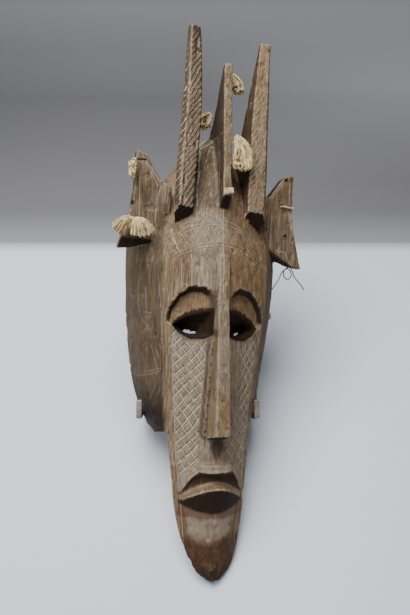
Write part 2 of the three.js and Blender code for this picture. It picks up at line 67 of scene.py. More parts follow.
def linear(red: int, green: int, blue: int) -> tuple:
    """Turns a display colour into scene-linear RGBA.

    Args:
        red: Red, 0 to 255.
        green: Green, 0 to 255.
        blue: Blue, 0 to 255.

    Returns:
        Four floats, alpha last.
    """
    shares = (value / 255 for value in (red, green, blue))
    parts = [part / 12.92 if part <= 0.04045 else ((part + 0.055) / 1.055) ** 2.4 for part in shares]
    return (*parts, 1.0)


# Frames


@dataclass(frozen=True)
class MaskPose:
    """Where the mask's own upright frame sits in the row frame.

    Places on the mask are (across, up, front) in millimetres, front being towards the viewer.
    """

    origin: tuple = (-17.387, -77.205, 57.5)
    lean: float = 45.0
    tip: float = 3.8
    turn: float = 17.0

    def rotation(self) -> Matrix:
        """Turns the mask's frame into the row frame.

        Returns:
            The rotation as a 3x3 matrix.
        """
        lean = Matrix.Rotation(math.radians(-self.lean), 3, "X")
        tip = Matrix.Rotation(math.radians(self.tip), 3, "Y")
        return lean @ tip @ Matrix.Rotation(math.radians(self.turn), 3, "Z")

    def normals_to_local(self, normals: np.ndarray) -> np.ndarray:
        """Row-frame directions to directions on the mask."""
        turned = normals @ np.array(self.rotation())
        return np.stack([turned[:, 0], turned[:, 2], -turned[:, 1]], axis=1)

    def to_local(self, points: np.ndarray) -> np.ndarray:
        """Row-frame places in metres to places on the mask."""
        return self.normals_to_local(points / MM - np.array(self.origin))

    def to_row(self, places: np.ndarray) -> np.ndarray:
        """Places on the mask to row-frame places in metres."""
        turned = np.stack([places[:, 0], -places[:, 2], places[:, 1]], axis=1)
        return (turned @ np.array(self.rotation()).T + np.array(self.origin)) * MM


POSE = MaskPose()


# Shader maths


class Sig:
    """A number in a shader node tree that takes part in ordinary arithmetic."""

    def __init__(self, tree: NodeTree, socket: NodeSocket) -> None:
        """Keeps the tree and the socket that gives the number."""
        self.tree = tree
        self.socket = socket

    def math(self, operation: str, *others: "Sig | float", clamp: bool = False) -> "Sig":
        """Adds one Math node.

        Args:
            operation: Blender's name for the operation.
            others: Further operands.
            clamp: Whether the result is held in 0 to 1.

        Returns:
            The result.
        """
        made = self.tree.nodes.new("ShaderNodeMath")
        made.operation = operation
        made.use_clamp = clamp
        for index, value in enumerate((self, *others)):
            if isinstance(value, Sig):
                self.tree.links.new(value.socket, made.inputs[index])
            else:
                made.inputs[index].default_value = float(value)
        return Sig(self.tree, made.outputs[0])

    def __add__(self, other: "Sig | float") -> "Sig":
        """The sum."""
        return self.math("ADD", other)

    def __sub__(self, other: "Sig | float") -> "Sig":
        """The difference."""
        return self.math("SUBTRACT", other)

    def __rsub__(self, other: float) -> "Sig":
        """A plain number less this one.

        Args:
            other: The plain number.

        Returns:
            The difference.
        """
        made = self.tree.nodes.new("ShaderNodeValue")
        made.outputs[0].default_value = float(other)
        return Sig(self.tree, made.outputs[0]).math("SUBTRACT", self)

    def __mul__(self, other: "Sig | float") -> "Sig":
        """The product."""
        return self.math("MULTIPLY", other)

    def __truediv__(self, other: "Sig | float") -> "Sig":
        """The quotient."""
        return self.math("DIVIDE", other)

    def __neg__(self) -> "Sig":
        """The number with its sign turned."""
        return self.math("MULTIPLY", -1.0)

    def __abs__(self) -> "Sig":
        """The number without its sign."""
        return self.math("ABSOLUTE")


Value = Sig | np.ndarray


class NodeMath:
    """The functions that the carved patterns need, on shader values."""

    @staticmethod
    def sin(value: Sig) -> Sig:
        """Sine of an angle in radians."""
        return value.math("SINE")

    @staticmethod
    def fract(value: Sig) -> Sig:
        """What stands behind the decimal point."""
        return value.math("FRACT")

    @staticmethod
    def highest(first: Sig, second: Sig | float) -> Sig:
        """The larger of two."""
        return first.math("MAXIMUM", second)

    @staticmethod
    def lowest(first: Sig, second: Sig | float) -> Sig:
        """The smaller of two."""
        return first.math("MINIMUM", second)

    @staticmethod
    def step(value: Sig, low: float, high: float) -> Sig:
        """0 at low, 1 at high, straight between; low may be the larger."""
        slope = 1.0 / (high - low)
        return value.math("MULTIPLY_ADD", slope, -low * slope, clamp=True)

    @staticmethod
    def plane(x: Sig, up: Sig, across: float, upwards: float, offset: float) -> Sig:
        """across * x + upwards * up + offset."""
        return x.math("MULTIPLY_ADD", across, up.math("MULTIPLY_ADD", upwards, offset))


class ArrayMath:
    """The same functions on arrays."""

    sin = staticmethod(np.sin)
    highest = staticmethod(np.maximum)
    lowest = staticmethod(np.minimum)

    @staticmethod
    def fract(value: np.ndarray) -> np.ndarray:
        """What stands behind the decimal point."""
        return value - np.floor(value)

    @staticmethod
    def step(value: np.ndarray, low: float, high: float) -> np.ndarray:
        """0 at low, 1 at high, straight between; low may be the larger."""
        return np.clip((value - low) / (high - low), 0.0, 1.0)

    @staticmethod
    def plane(x: np.ndarray, up: np.ndarray, across: float, upwards: float, offset: float) -> np.ndarray:
        """across * x + upwards * up + offset."""
        return x * across + up * upwards + offset


class Nodes:
    """Adds nodes to a shader or geometry tree."""

    def __init__(self, tree: NodeTree) -> None:
        """Takes the tree and empties it."""
        self.tree = tree
        tree.nodes.clear()

    def node(self, kind: str, inputs: dict | None = None, **properties: object) -> Node:
        """Makes any node.

        Args:
            kind: The node's type name.
            inputs: Input name or index to a number, vector, socket or Sig.
            properties: Attributes set on the node first.

        Returns:
            The new node.
        """
        made = self.tree.nodes.new(kind)
        for key, value in properties.items():
            setattr(made, key, value)
        for key, value in (inputs or {}).items():
            if isinstance(value, Sig):
                value = value.socket
            if isinstance(value, NodeSocket):
                self.tree.links.new(value, made.inputs[key])
            else:
                made.inputs[key].default_value = value
        return made


class ShaderTree(Nodes):
    """Builds one material's node tree."""

    def __init__(self, name: str) -> None:
        """Starts an empty material of that name.

        Args:
            name: The material's name.
        """
        self.material = bpy.data.materials.new(name)
        self.material.use_nodes = True
        super().__init__(self.material.node_tree)

    def object_vector(self) -> NodeSocket:
        """The piece's own coordinates, in metres."""
        return self.node("ShaderNodeTexCoord").outputs["Object"]

    def axes(self, vector: NodeSocket) -> list[Sig]:
        """The three parts of a vector."""
        parts = self.node("ShaderNodeSeparateXYZ", {0: vector})
        return [Sig(self.tree, output) for output in parts.outputs]

    def noise(self, vector: NodeSocket, scale: tuple, detail: float, roughness: float = 0.55) -> Sig:
        """Noise over a vector.

        Args:
            vector: Where it is looked up.
            scale: Lumps per unit along each axis.
            detail: Number of finer layers.
            roughness: Strength of the finer layers.

        Returns:
            About 0.2 to 0.8.
        """
        scaled = self.node("ShaderNodeVectorMath", {0: vector, 1: scale}, operation="MULTIPLY")
        inputs = {"Vector": scaled.outputs[0], "Scale": 1.0, "Detail": detail, "Roughness": roughness}
        return Sig(self.tree, self.node("ShaderNodeTexNoise", inputs).outputs["Fac"])

    def mix(self, factor: Sig, first: object, second: object) -> NodeSocket:
        """Mixes two colours.

        Args:
            factor: Share of the second one.
            first: A colour or a colour socket.
            second: The same.

        Returns:
            The mixed colour's socket.
        """
        inputs = {"Factor": factor, 6: first, 7: second}
        return self.node("ShaderNodeMix", inputs, data_type="RGBA", clamp_factor=True).outputs[2]

    def attribute(self, name: str) -> list[Sig]:
        """Reads a vertex colour attribute.

        Args:
            name: The attribute's name.

        Returns:
            Its four channels.
        """
        made = self.node("ShaderNodeAttribute", attribute_name=name)
        parts = self.node("ShaderNodeSeparateColor", {0: made.outputs["Color"]})
        return [Sig(self.tree, output) for output in (*parts.outputs, made.outputs["Alpha"])]

    def bump(self, height: Sig, strength: float, distance: float) -> NodeSocket:
        """A normal that follows a height."""
        inputs = {"Strength": strength, "Distance": distance, "Height": height}
        return self.node("ShaderNodeBump", inputs).outputs[0]

    def finish(self, inputs: dict) -> Material:
        """Adds the surface shader.

        Args:
            inputs: The shader's inputs.

        Returns:
            The material.
        """
        shader = self.node("ShaderNodeBsdfPrincipled", inputs)
        self.node("ShaderNodeOutputMaterial", {0: shader.outputs[0]})
        return self.material


# Carved patterns

# Single cuts, each from one place to another: across, up, across, up
WALL_STROKES = (
    (-62.9, 164, -58.0, 128), (-57.6, 126, -55.0, 92), (-72.5, 150, -70.8, 124), (-72.5, 123, -66.0, 122.2),
    (-73, 119, -66.5, 118.2), (-73, 115, -65.5, 103), (-65.5, 113, -71.5, 101), (-63.5, 88, -57.5, 66),
    (-60.0, 88, -56.5, 76), (-80, 46, -55, 63.5), (-67, 59.5, -54, 66.5), (-57, 52, -63, 18),
    (-53.5, 46, -58.5, 22),
)
CROWN_STROKES = (
    (-26.6, 238, -25.4, 258), (-25.4, 258, -21.9, 282), (-21.9, 282, -17.4, 309), (-17.4, 311.5, -4.3, 319),
    (27.2, 272, 28.4, 232),
)
FOREHEAD_STROKES = (
    (-42.2, 181, -40.8, 149), (-16.5, 175, -16.6, 152), (-22.6, 183, -21.5, 160), (4.7, 182, 4.9, 174),
    (-32.5, 185, -31.0, 152), (-0.6, 240, -0.6, 226), (-0.8, 226, -1.0, 190), (-1.0, 190, -1.3, 148),
    (-51, 212, -46, 190), (-52, 204, -43, 186),
)
EAR_STROKES = (
    (76.5, 283, 62.7, 261), (77.8, 280, 65.5, 261), (74, 203, 86, 201), (86, 201, 96.5, 184),
    (86.6, 282, 87.6, 256), (-91.5, 281.6, -80.5, 281.6), (-85.5, 287, -65, 262), (-82.5, 282, -67, 257),
    (-86.5, 268, -85, 224), (-62.5, 260, -66.8, 246), (-66.8, 246, -67.6, 214),
)
# On the side of the centre horn's blade: front, up, front, up
BLADE_STROKES = ((32.5, 238.8, 17, 302.5), (17, 302.5, 7.4, 320), (7.4, 320, -18, 324))
# Nail holes in the ears: across, up, radius
EAR_HOLES = ((-92.9, 236.2, 2.3), (78.1, 254.1, 2.0), (84.7, 220.6, 1.9), (81.8, 284.4, 1.9), (88, 286, 1.4))


@dataclass(frozen=True)
class Patterns:
    """Incised patterns at places on the mask, in millimetres: 1 on a cut, 0 beside it.

    They work on shader values and on arrays alike, so cut and colour fall in the same place.
    """

    x: Value
    up: Value
    front: Value
    hatch_pitch: float = 7.4
    hatch_across: float = 0.79
    hatch_up: float = 0.61
    horn_pitch: float = 4.3
    band_top: float = 222.4
    band_foot: float = 196.2
    band_rim: float = 3.8
    band_half: float = 52.0
    tooth_pitch: float = 21.0
    soft: float = 0.5
    blur: float = 0.0

    def line(self, value: Value, pitch: float, half: float, soft: float) -> Value:
        """Evenly spaced lines."""
        away = abs(self.fract(value * (1.0 / pitch)) - 0.5) * pitch
        return self.step(away, half + soft + self.blur, half)

    def near(self, value: Value, half: float, soft: float = 0.5) -> Value:
        """One line where a value is about zero."""
        return self.step(abs(value), half + soft + self.blur, half)

    def cheek_hatch(self, shift: float = 0.0) -> Value:
        """Crossing diagonal lines that draw diamonds.

        Args:
            shift: Moves every line sideways.

        Returns:
            The pattern.
        """
        x, up = self.x, self.up
        wobble = self.sin(up * 0.071 + x * 0.05) * 1.2 + self.sin(up * 0.19 - x * 0.13) * 0.5
        rising = x * self.hatch_across - up * self.hatch_up + wobble + shift
        falling = x * self.hatch_across + up * self.hatch_up - wobble * 0.8 + shift
        rising, falling = (self.line(value, self.hatch_pitch, 0.25, 0.45) for value in (rising, falling))
        return self.highest(rising, falling)

    def cheek_fine(self, shift: float = 0.0) -> Value:
        """Weaker cuts half way between the main lines.

        Args:
            shift: Moves every line sideways.

        Returns:
            The pattern.
        """
        x, up = self.x, self.up
        wobble = self.sin(up * 0.11 - x * 0.07) * 0.9
        rising = x * self.hatch_across - up * self.hatch_up + wobble + shift
        falling = x * self.hatch_across + up * self.hatch_up + wobble + shift
        rising, falling = (self.line(value, self.hatch_pitch / 2, 0.12, 0.45) for value in (rising, falling))
        return self.highest(rising, falling * 0.8)

    def horn_lines(self, shift: float = 0.0) -> Value:
        """Slanting cuts that climb towards the viewer's right.

        Args:
            shift: Moves every line upwards.

        Returns:
            The pattern.
        """
        x, up = self.x, self.up
        wobble = self.sin(up * 0.11) * 1.1 + self.sin(up * 0.043) * 1.4 + self.sin(up * 0.33 + x * 0.2) * 0.3
        value = up * 0.58 - x * 0.9 + self.front * 0.2 + wobble + shift
        return self.line(value, self.horn_pitch, 0.05, 0.55)

    def brow_band(self, drop: float = 0.0) -> Value:
        """Double arcs across the forehead with a zigzag between them.

        Args:
            drop: Moves the band down.

        Returns:
            The pattern.
        """
        x, up = self.x, self.up + drop if drop else self.up
        away = self.lowest(abs(x + 1.0), self.band_half)
        wobble = self.sin(x * 0.31) * 0.4
        upper = self.band_top - away * away * 0.0075 + wobble
        lower = self.band_foot - away * away * 0.0072 - wobble
        arcs = self.highest(self.near(up - upper, 0.2), self.near(up - upper + 3.9, 0.15))
        arcs = self.highest(arcs, self.near(up - lower, 0.2))
        arcs = self.highest(arcs, self.near(up - lower - self.band_rim, 0.15))
        share = (up - lower - self.band_rim) / (upper - lower - self.band_rim)
        tooth = abs(self.fract(x * (1.0 / self.tooth_pitch) + 0.09) - 0.5) * 2.0
        zigzag = self.near((share - tooth) * 10.0, 0.25, 0.6)
        second = self.near((share - tooth) * 10.0 - 2.6, 0.2, 0.5)
        inside = self.step(share, 0.0, 0.05) * self.step(share, 1.0, 0.95)
        return self.highest(arcs, self.highest(zigzag, second * 0.8) * inside)

    def border_lines(self) -> Value:
        """Thin lines that run along the plain border of the face.

        Returns:
            The pattern.
        """
        edge = self.up * 0.098 - self.up * self.up * 0.00017 + 44.6
        away = abs(self.x) - edge + self.sin(self.up * 0.06) * 0.4
        inner = self.near(away + 6.4, 0.2, 0.6)
        return self.highest(inner, self.near(away + 3.6, 0.05, 0.5) * 0.5)

    def stroke(self, place: tuple, half: float = 0.28, side: Value | None = None) -> Value:
        """One straight cut.

        Args:
            place: Its two ends.
            half: Half its width.
            side: What stands for across, where it isn't x.

        Returns:
            The pattern.
        """
        x, up = (self.x if side is None else side), self.up
        start, end = place[:2], place[2:]
        along = (end[0] - start[0], end[1] - start[1])
        length = math.hypot(*along)
        unit = (along[0] / length, along[1] / length)
        middle = ((start[0] + end[0]) / 2, (start[1] + end[1]) / 2)
        offset = self.plane(x, up, unit[1], -unit[0], middle[1] * unit[0] - middle[0] * unit[1])
        travel = self.plane(x, up, unit[0], unit[1], -middle[0] * unit[0] - middle[1] * unit[1])
        ends = self.step(abs(travel), length / 2 + self.soft, length / 2 - self.soft)
        return self.step(abs(offset), half + self.soft + self.blur, half) * ends

    def strokes(self, places: tuple, half: float = 0.28, side: Value | None = None) -> Value:
        """All the single cuts of one list."""
        return functools.reduce(self.highest, [self.stroke(place, half, side) for place in places])


class NodePatterns(Patterns, NodeMath):
    """The patterns as shader values."""


class ArrayPatterns(Patterns, ArrayMath):
    """The patterns as arrays."""


# Array tools


def ramp(value: np.ndarray, low: float, high: float) -> np.ndarray:
    """0 at low, 1 at high, with a soft start and end; low may be the larger."""
    share = np.clip((value - low) / (high - low), 0, 1)
    return share * share * (3 - 2 * share)


def value_noise(points: np.ndarray, scale: tuple, seed: int) -> np.ndarray:
    """Smooth value noise, 0 to 1.

    Args:
        points: Places, shape (n, 3).
        scale: Cells per unit along each axis.
        seed: Fixed seed.

    Returns:
        One value a place.
    """
    scaled = points * np.array(scale) + seed * 17.31
    base = np.floor(scaled).astype(np.int64)
    part = scaled - base
    part = part * part * (3 - 2 * part)
    total = np.zeros(len(points))
    for corner in range(8):
        shift = np.array([(corner >> axis) & 1 for axis in range(3)])
        cell = base + shift
        mixed = (cell[:, 0] * 73856093) ^ (cell[:, 1] * 19349663) ^ (cell[:, 2] * 83492791)
        mixed = (mixed ^ (seed * 2654435761)) & 0x7FFFFFFF
        mixed = (mixed * 1103515245 + 12345) & 0x7FFFFFFF
        mixed = ((mixed >> 7) * 69069 + 1) & 0x7FFFFFFF
        weight = np.prod(np.where(shift == 1, part, 1 - part), axis=1)
        total += weight * (mixed % 65536) / 65535.0
    return total


def reach(across: np.ndarray, up: np.ndarray, outline: tuple, centre: tuple) -> np.ndarray:
    """How far out a place lies in an outline: 0 at its centre, 1 on it.

    Args:
        across: Places across.
        up: Places upwards.
        outline: Corners of a shape that can be seen whole from its centre.
        centre: That centre.

    Returns:
        One value a place.
    """
    corners = np.array(outline, dtype=float) - np.array(centre)
    following = np.roll(corners, -1, axis=0)
    steps = np.linspace(0, 1, 12, endpoint=False)[:, None, None]
    fine = (corners + (following - corners) * steps).reshape(-1, 2)
    angle = np.arctan2(fine[:, 1], fine[:, 0])
    order = np.argsort(angle)
    radius = np.hypot(fine[:, 0], fine[:, 1])[order]
    dx, dy = across - centre[0], up - centre[1]
    limit = np.interp(np.arctan2(dy, dx), angle[order], radius, period=2 * math.pi)
    return np.hypot(dx, dy) / limit


def surface_tree(mesh: Mesh) -> BVHTree:
    """Search tree over the faces of a mesh."""
    places = [corner.co for corner in mesh.vertices]
    return BVHTree.FromPolygons(places, [face.vertices[:] for face in mesh.polygons])


def show(name: str, data: ID) -> Object:
    """Makes an object and puts it in the scene.

    Args:
        name: Its name.
        data: Its mesh, curve, camera or light.

    Returns:
        The object.
    """
    made = bpy.data.objects.new(name, data)
    bpy.context.scene.collection.objects.link(made)
    return made


def plain_mesh(holder: Object) -> Mesh:
    """A plain mesh with the holder's modifiers applied; the holder goes.

    Args:
        holder: The object that carries the modifiers.

    Returns:
        The new mesh.
    """
    graph = bpy.context.evaluated_depsgraph_get()
    graph.update()
    mesh = bpy.data.meshes.new_from_object(holder.evaluated_get(graph))
    bpy.data.objects.remove(holder)
    return mesh


def triangle_count(mesh: Mesh) -> int:
    """Number of triangles of a mesh."""
    return sum(len(face.vertices) - 2 for face in mesh.polygons)


class Corners:
    """A mesh's corners, edges and normals as arrays."""

    def __init__(self, mesh: Mesh) -> None:
        """Reads the mesh.

        Args:
            mesh: The mesh to read.
        """
        count = len(mesh.vertices)
        places, normals = np.zeros(count * 3), np.zeros(count * 3)
        mesh.vertices.foreach_get("co", places)
        mesh.vertex_normals.foreach_get("vector", normals)
        edges = np.zeros(len(mesh.edges) * 2, dtype=np.int64)
        mesh.edges.foreach_get("vertices", edges)
        self.places, self.normals = places.reshape(-1, 3), normals.reshape(-1, 3)
        self.edges = edges.reshape(-1, 2)
        self.degree = np.bincount(edges, minlength=count).astype(float)

    def average(self, values: np.ndarray) -> np.ndarray:
        """Mean of the neighbours of each corner.

        Args:
            values: One row a corner.

        Returns:
            The means, in the same order.
        """
        total = np.zeros_like(values)
        for column in range(values.shape[1]):
            for end in (0, 1):
                weights = values[self.edges[:, 1 - end], column]
                total[:, column] += np.bincount(self.edges[:, end], weights, minlength=len(values))
        return total / self.degree[:, None]


# Mask

EYE_OUTLINE = (
    (47, 112), (41, 119), (33, 125), (20, 130), (7, 131), (7, 104.5), (18, 99.5), (29, 99), (40, 104),
)
LID_OUTLINE = ((52.5, 115), (50, 129), (42, 142.5), (31, 150.5), (19, 151), (8, 144), (8, 112), (45, 111))
CHIN_PATCH = ((-29, -56), (-24, -90), (-15, -100), (-6, -101), (4, -95), (14, -94.5), (22, -80), (28, -56))
# Heights between which the centre horn's blade carries its strokes, and between which the eyes lie
BLADE_FOOT, BLADE_TOP = 236, 322
EYE_FOOT, EYE_TOP = 90, 140
# Height, half width of the face, depth of its edge and of its middle
FACE_ROWS = (
    (-134, 7, 67, 71), (-124, 18.6, 63, 72), (-115, 24.6, 58.5, 71), (-96, 31.3, 53, 67.5),
    (-66, 37.6, 47.5, 64.5), (-44, 39.5, 44, 62), (-22, 42.5, 38, 60.5), (-6, 43.8, 34, 59.2),
    (18, 47, 32.5, 59), (45, 49, 31, 57), (79, 51.5, 30, 54), (113, 54, 29, 51),
    (150, 56, 28, 49), (181, 57, 26, 47), (208, 56, 14, 41.5), (223, 54, 5, 37),
    (236, 52, 1, 33), (250, 49, -3, 28.5), (265, 44, -8, 23), (282, 36, -14, 16),
    (297, 29, -18, 9), (312, 21, -22, 0), (325, 11, -25, -10), (334, 3, -30, -20),
)
# Height, distance of the middle from the centre plane, half width
LEFT_HORN_ROWS = ((237, 41.3, 9.9), (275, 41.1, 10.5), (330, 39.1, 10.5), (385, 39.6, 8.9), (426, 41.2, 6.8))
RIGHT_HORN_ROWS = ((239, 40.5, 12.4), (275, 40, 12), (345, 39.3, 11), (390, 39.7, 9), (425, 40.5, 7))


class Zones:
    """Where each treatment of the wood lies, worked out from places and normals."""

    def __init__(self, mesh: Mesh) -> None:
        """Measures a surface against the face's own form.

        Args:
            mesh: The wooden surface, in the row frame.
        """
        self.mesh = mesh
        self.corners = Corners(mesh)
        self.local = POSE.to_local(self.corners.places)
        self.normal = POSE.normals_to_local(self.corners.normals)
        self.x, self.up, self.front = self.local.T
        self.away = np.abs(self.x)
        rows = np.array(FACE_ROWS)
        self.edge, edge_front, mid_front = (np.interp(self.up, rows[:, 0], rows[:, i]) for i in (1, 2, 3))
        share = np.minimum(self.away / self.edge, 1.3) ** 1.6
        surface = edge_front + (mid_front - edge_front) * (1 - share)
        self.depth = surface - self.front
        self.facing = ramp(self.normal[:, 2], 0.25, 0.6)
        self.under = ramp(-self.normal[:, 1], 0.3, 0.55)
        self.nose_half = np.interp(self.up, [0, 9, 135, 186], [11, 12.2, 7, 6.2])
        self.crest = 311 + (self.x + 31.4) * 0.332
        self.lid = reach(self.away, self.up, LID_OUTLINE, (26, 118))
        self.eye = reach(self.away, self.up, EYE_OUTLINE, (25, 114))
        self.chin_patch = reach(self.x, self.up, CHIN_PATCH, (0, -84))
        self.side_horn = self._side_horn()
        ear = (self.away > 60 + 0.1 * (255 - self.up)) & (self.up > 176) & (self.front > -14)
        self.ear = ear.astype(float)

    def noise(self, side: float, along: float, seed: int) -> np.ndarray:
        """Noise on the wood, with cells per millimetre sideways and along the grain."""
        return value_noise(self.local, (side, along, side), seed)

    def _side_horn(self) -> np.ndarray:
        """Front of the two side horns.

        Returns:
            1 there, 0 elsewhere.
        """
        near = np.zeros(len(self.up))
        for side, rows in ((-1, LEFT_HORN_ROWS), (1, RIGHT_HORN_ROWS)):
            table = np.array(rows)
            middle = side * np.interp(self.up, table[:, 0], table[:, 1])
            half = np.interp(self.up, table[:, 0], table[:, 2])
            near = np.maximum(near, np.abs(self.x - middle) < half + 1.2)
        return near * (self.up > 222) * (self.front > 11) * (self.depth < -2.5)

    def wall(self) -> np.ndarray:
        """The shell's side on the viewer's left."""
        return (self.x < -50) * (self.up < 200) * (self.ear < 0.5)

    def cheek(self) -> np.ndarray:
        """Where the cheeks carry their crossing lines.

        Returns:
            Their strength, 0 to 1.
        """
        x, up = self.x, self.up
        start = self.nose_half + np.where(x < 0, 5.0, 0.5)
        inner = ramp(self.away, start, start + 2)
        outer = ramp(self.away, self.edge - 5.5, self.edge - 7.5)
        top = 97 + 14 * ramp(x, -36, -45) + 4 * ramp(x, 38, 46)
        below = ramp(up, -40, -28) * ramp(up, top + 1.5, top - 1.5)
        right = np.where(x > 0, 0.15 + 0.75 * ramp(self.away, 22, 33), 1.0)
        right = np.where((x > 0) & (up < 16), np.maximum(right, 0.5), right)
        return inner * outer * below * right * self.facing

    def horn_cut(self) -> np.ndarray:
        """Where the side horns carry slanting cuts."""
        worn = np.where(self.x > 0, ramp(self.up, 405, 350), ramp(self.up, 432, 400))
        return self.side_horn * ramp(self.normal[:, 2], 0.3, 0.5) * (0.25 + 0.75 * worn)

    def band(self) -> np.ndarray:
        """Where the forehead carries its band."""
        inside = ramp(self.up, 176, 182) * ramp(self.up, 230, 226)
        return inside * ramp(self.away, 50, 44) * self.facing * (1 - self.side_horn)

    def brow(self) -> np.ndarray:
        """The arch between the forehead and each sunk lid, which takes painted shade.

        Returns:
            1 on it, 0 elsewhere.
        """
        rough = value_noise(self.local, (0.45, 0.45, 0.2), 51) * 0.09
        inner = ramp(self.lid, 0.84 + rough * 0.3, 0.9)
        outer = ramp(self.lid, 1.04 + rough, 0.99 + rough)
        upper = ramp(self.up, 113, 121) * ramp(self.away, 9, 15)
        return inner * outer * upper * (self.depth < 11)

    def upper_lip(self) -> np.ndarray:
        """Height of the upper lip's lower edge."""
        share = np.minimum(self.away / 30, 1.05)
        return -29.5 - 20 * np.clip((share - 0.55) / 0.45, 0, 1.1) ** 1.5

    def lower_lip(self) -> tuple:
        """Heights of the lower lip's front edge and of its foot."""
        bow = np.minimum(self.away / 30, 1.05) ** 1.8
        return -43.6 - 14 * bow, -70.5 + 6 * bow

    def panel(self) -> np.ndarray:
        """The raised panel between the viewer's left horn and the centre horn.

        Returns:
            1 on it, 0 elsewhere.
        """
        left = np.interp(self.up, [238, 279, 311], [-27.2, -29.6, -30.4])
        inside = ramp(self.x, left - 0.6, left + 0.6) * ramp(self.x, -4.4, -5.4)
        flat = (np.abs(self.depth) < 4) * (np.abs(self.normal[:, 0]) < 0.6)
        return inside * ramp(self.up, 235, 239) * ramp(self.up, self.crest + 1, self.crest - 1) * flat

    def pale_edge(self) -> np.ndarray:
        """The bare, cream strip on the outer edge of the viewer's right ear."""
        side = ramp(self.x + 0.19 * (self.up - 240), 87.6, 88.6)
        return side * ramp(self.up, 226, 230) * ramp(self.up, 251, 247) * self.ear

    def blade_face(self) -> np.ndarray:
        """The left side of the centre horn's blade."""
        near = (self.x > -8) * (self.x < -3) * (self.normal[:, 0] < -0.6)
        return near * (self.up > BLADE_FOOT) * (self.depth < 2) * 1.0

    def hollow(self) -> np.ndarray:
        """Inside of the shell: wood ahead, and wood on both sides.

        Returns:
            1 there, 0 elsewhere.
        """
        found = np.zeros(len(self.up))
        outward = (self.away > 44) & (self.normal[:, 0] * np.sign(self.x) > 0.25)
        maybe = (self.depth > 9) & (self.up > -5) & (self.up < 330) & (self.away < 88)
        maybe = maybe & ~outward & (self.ear < 0.5)
        tree = surface_tree(self.mesh)
        turn = np.array(POSE.rotation())
        ways = (Vector(-turn[:, 1]), Vector(-turn[:, 0]), Vector(turn[:, 0]))
        clear, reach_out = 0.0008, 0.25
        for index in np.nonzero(maybe)[0]:
            start = Vector(self.corners.places[index] + self.corners.normals[index] * clear)
            found[index] = all(tree.ray_cast(start, way, reach_out)[0] is not None for way in ways)
        return found


# How dark each part of the wood is, 0 to 1: nearly all are painted shade, the panel and ears are darker wood,
# the horn feet are partly dark patina and the chin partly darker wood, both partly painted shade
SHADES = {
    "horn_foot": 1.0,
    "eye": 1.0,
    "chin": 1.0,
    "wall": 1.0,
    "holes": 0.95,
    "nose_step": 0.92,
    "ear_bevel": 0.85,
    "low_lip": 0.74,
    "brow": 0.66,
    "horn_facet": 0.66,
    "hollow": 0.62,
    "under_lip": 0.56,
    "blade": 0.55,
    "philtrum": 0.55,
    "eye_rim": 0.45,
    "nose_side": 0.42,
    "panel": 0.36,
    "right_wall": 0.36,
    "ear": 0.16,
    "right_cheek": 0.02,
}


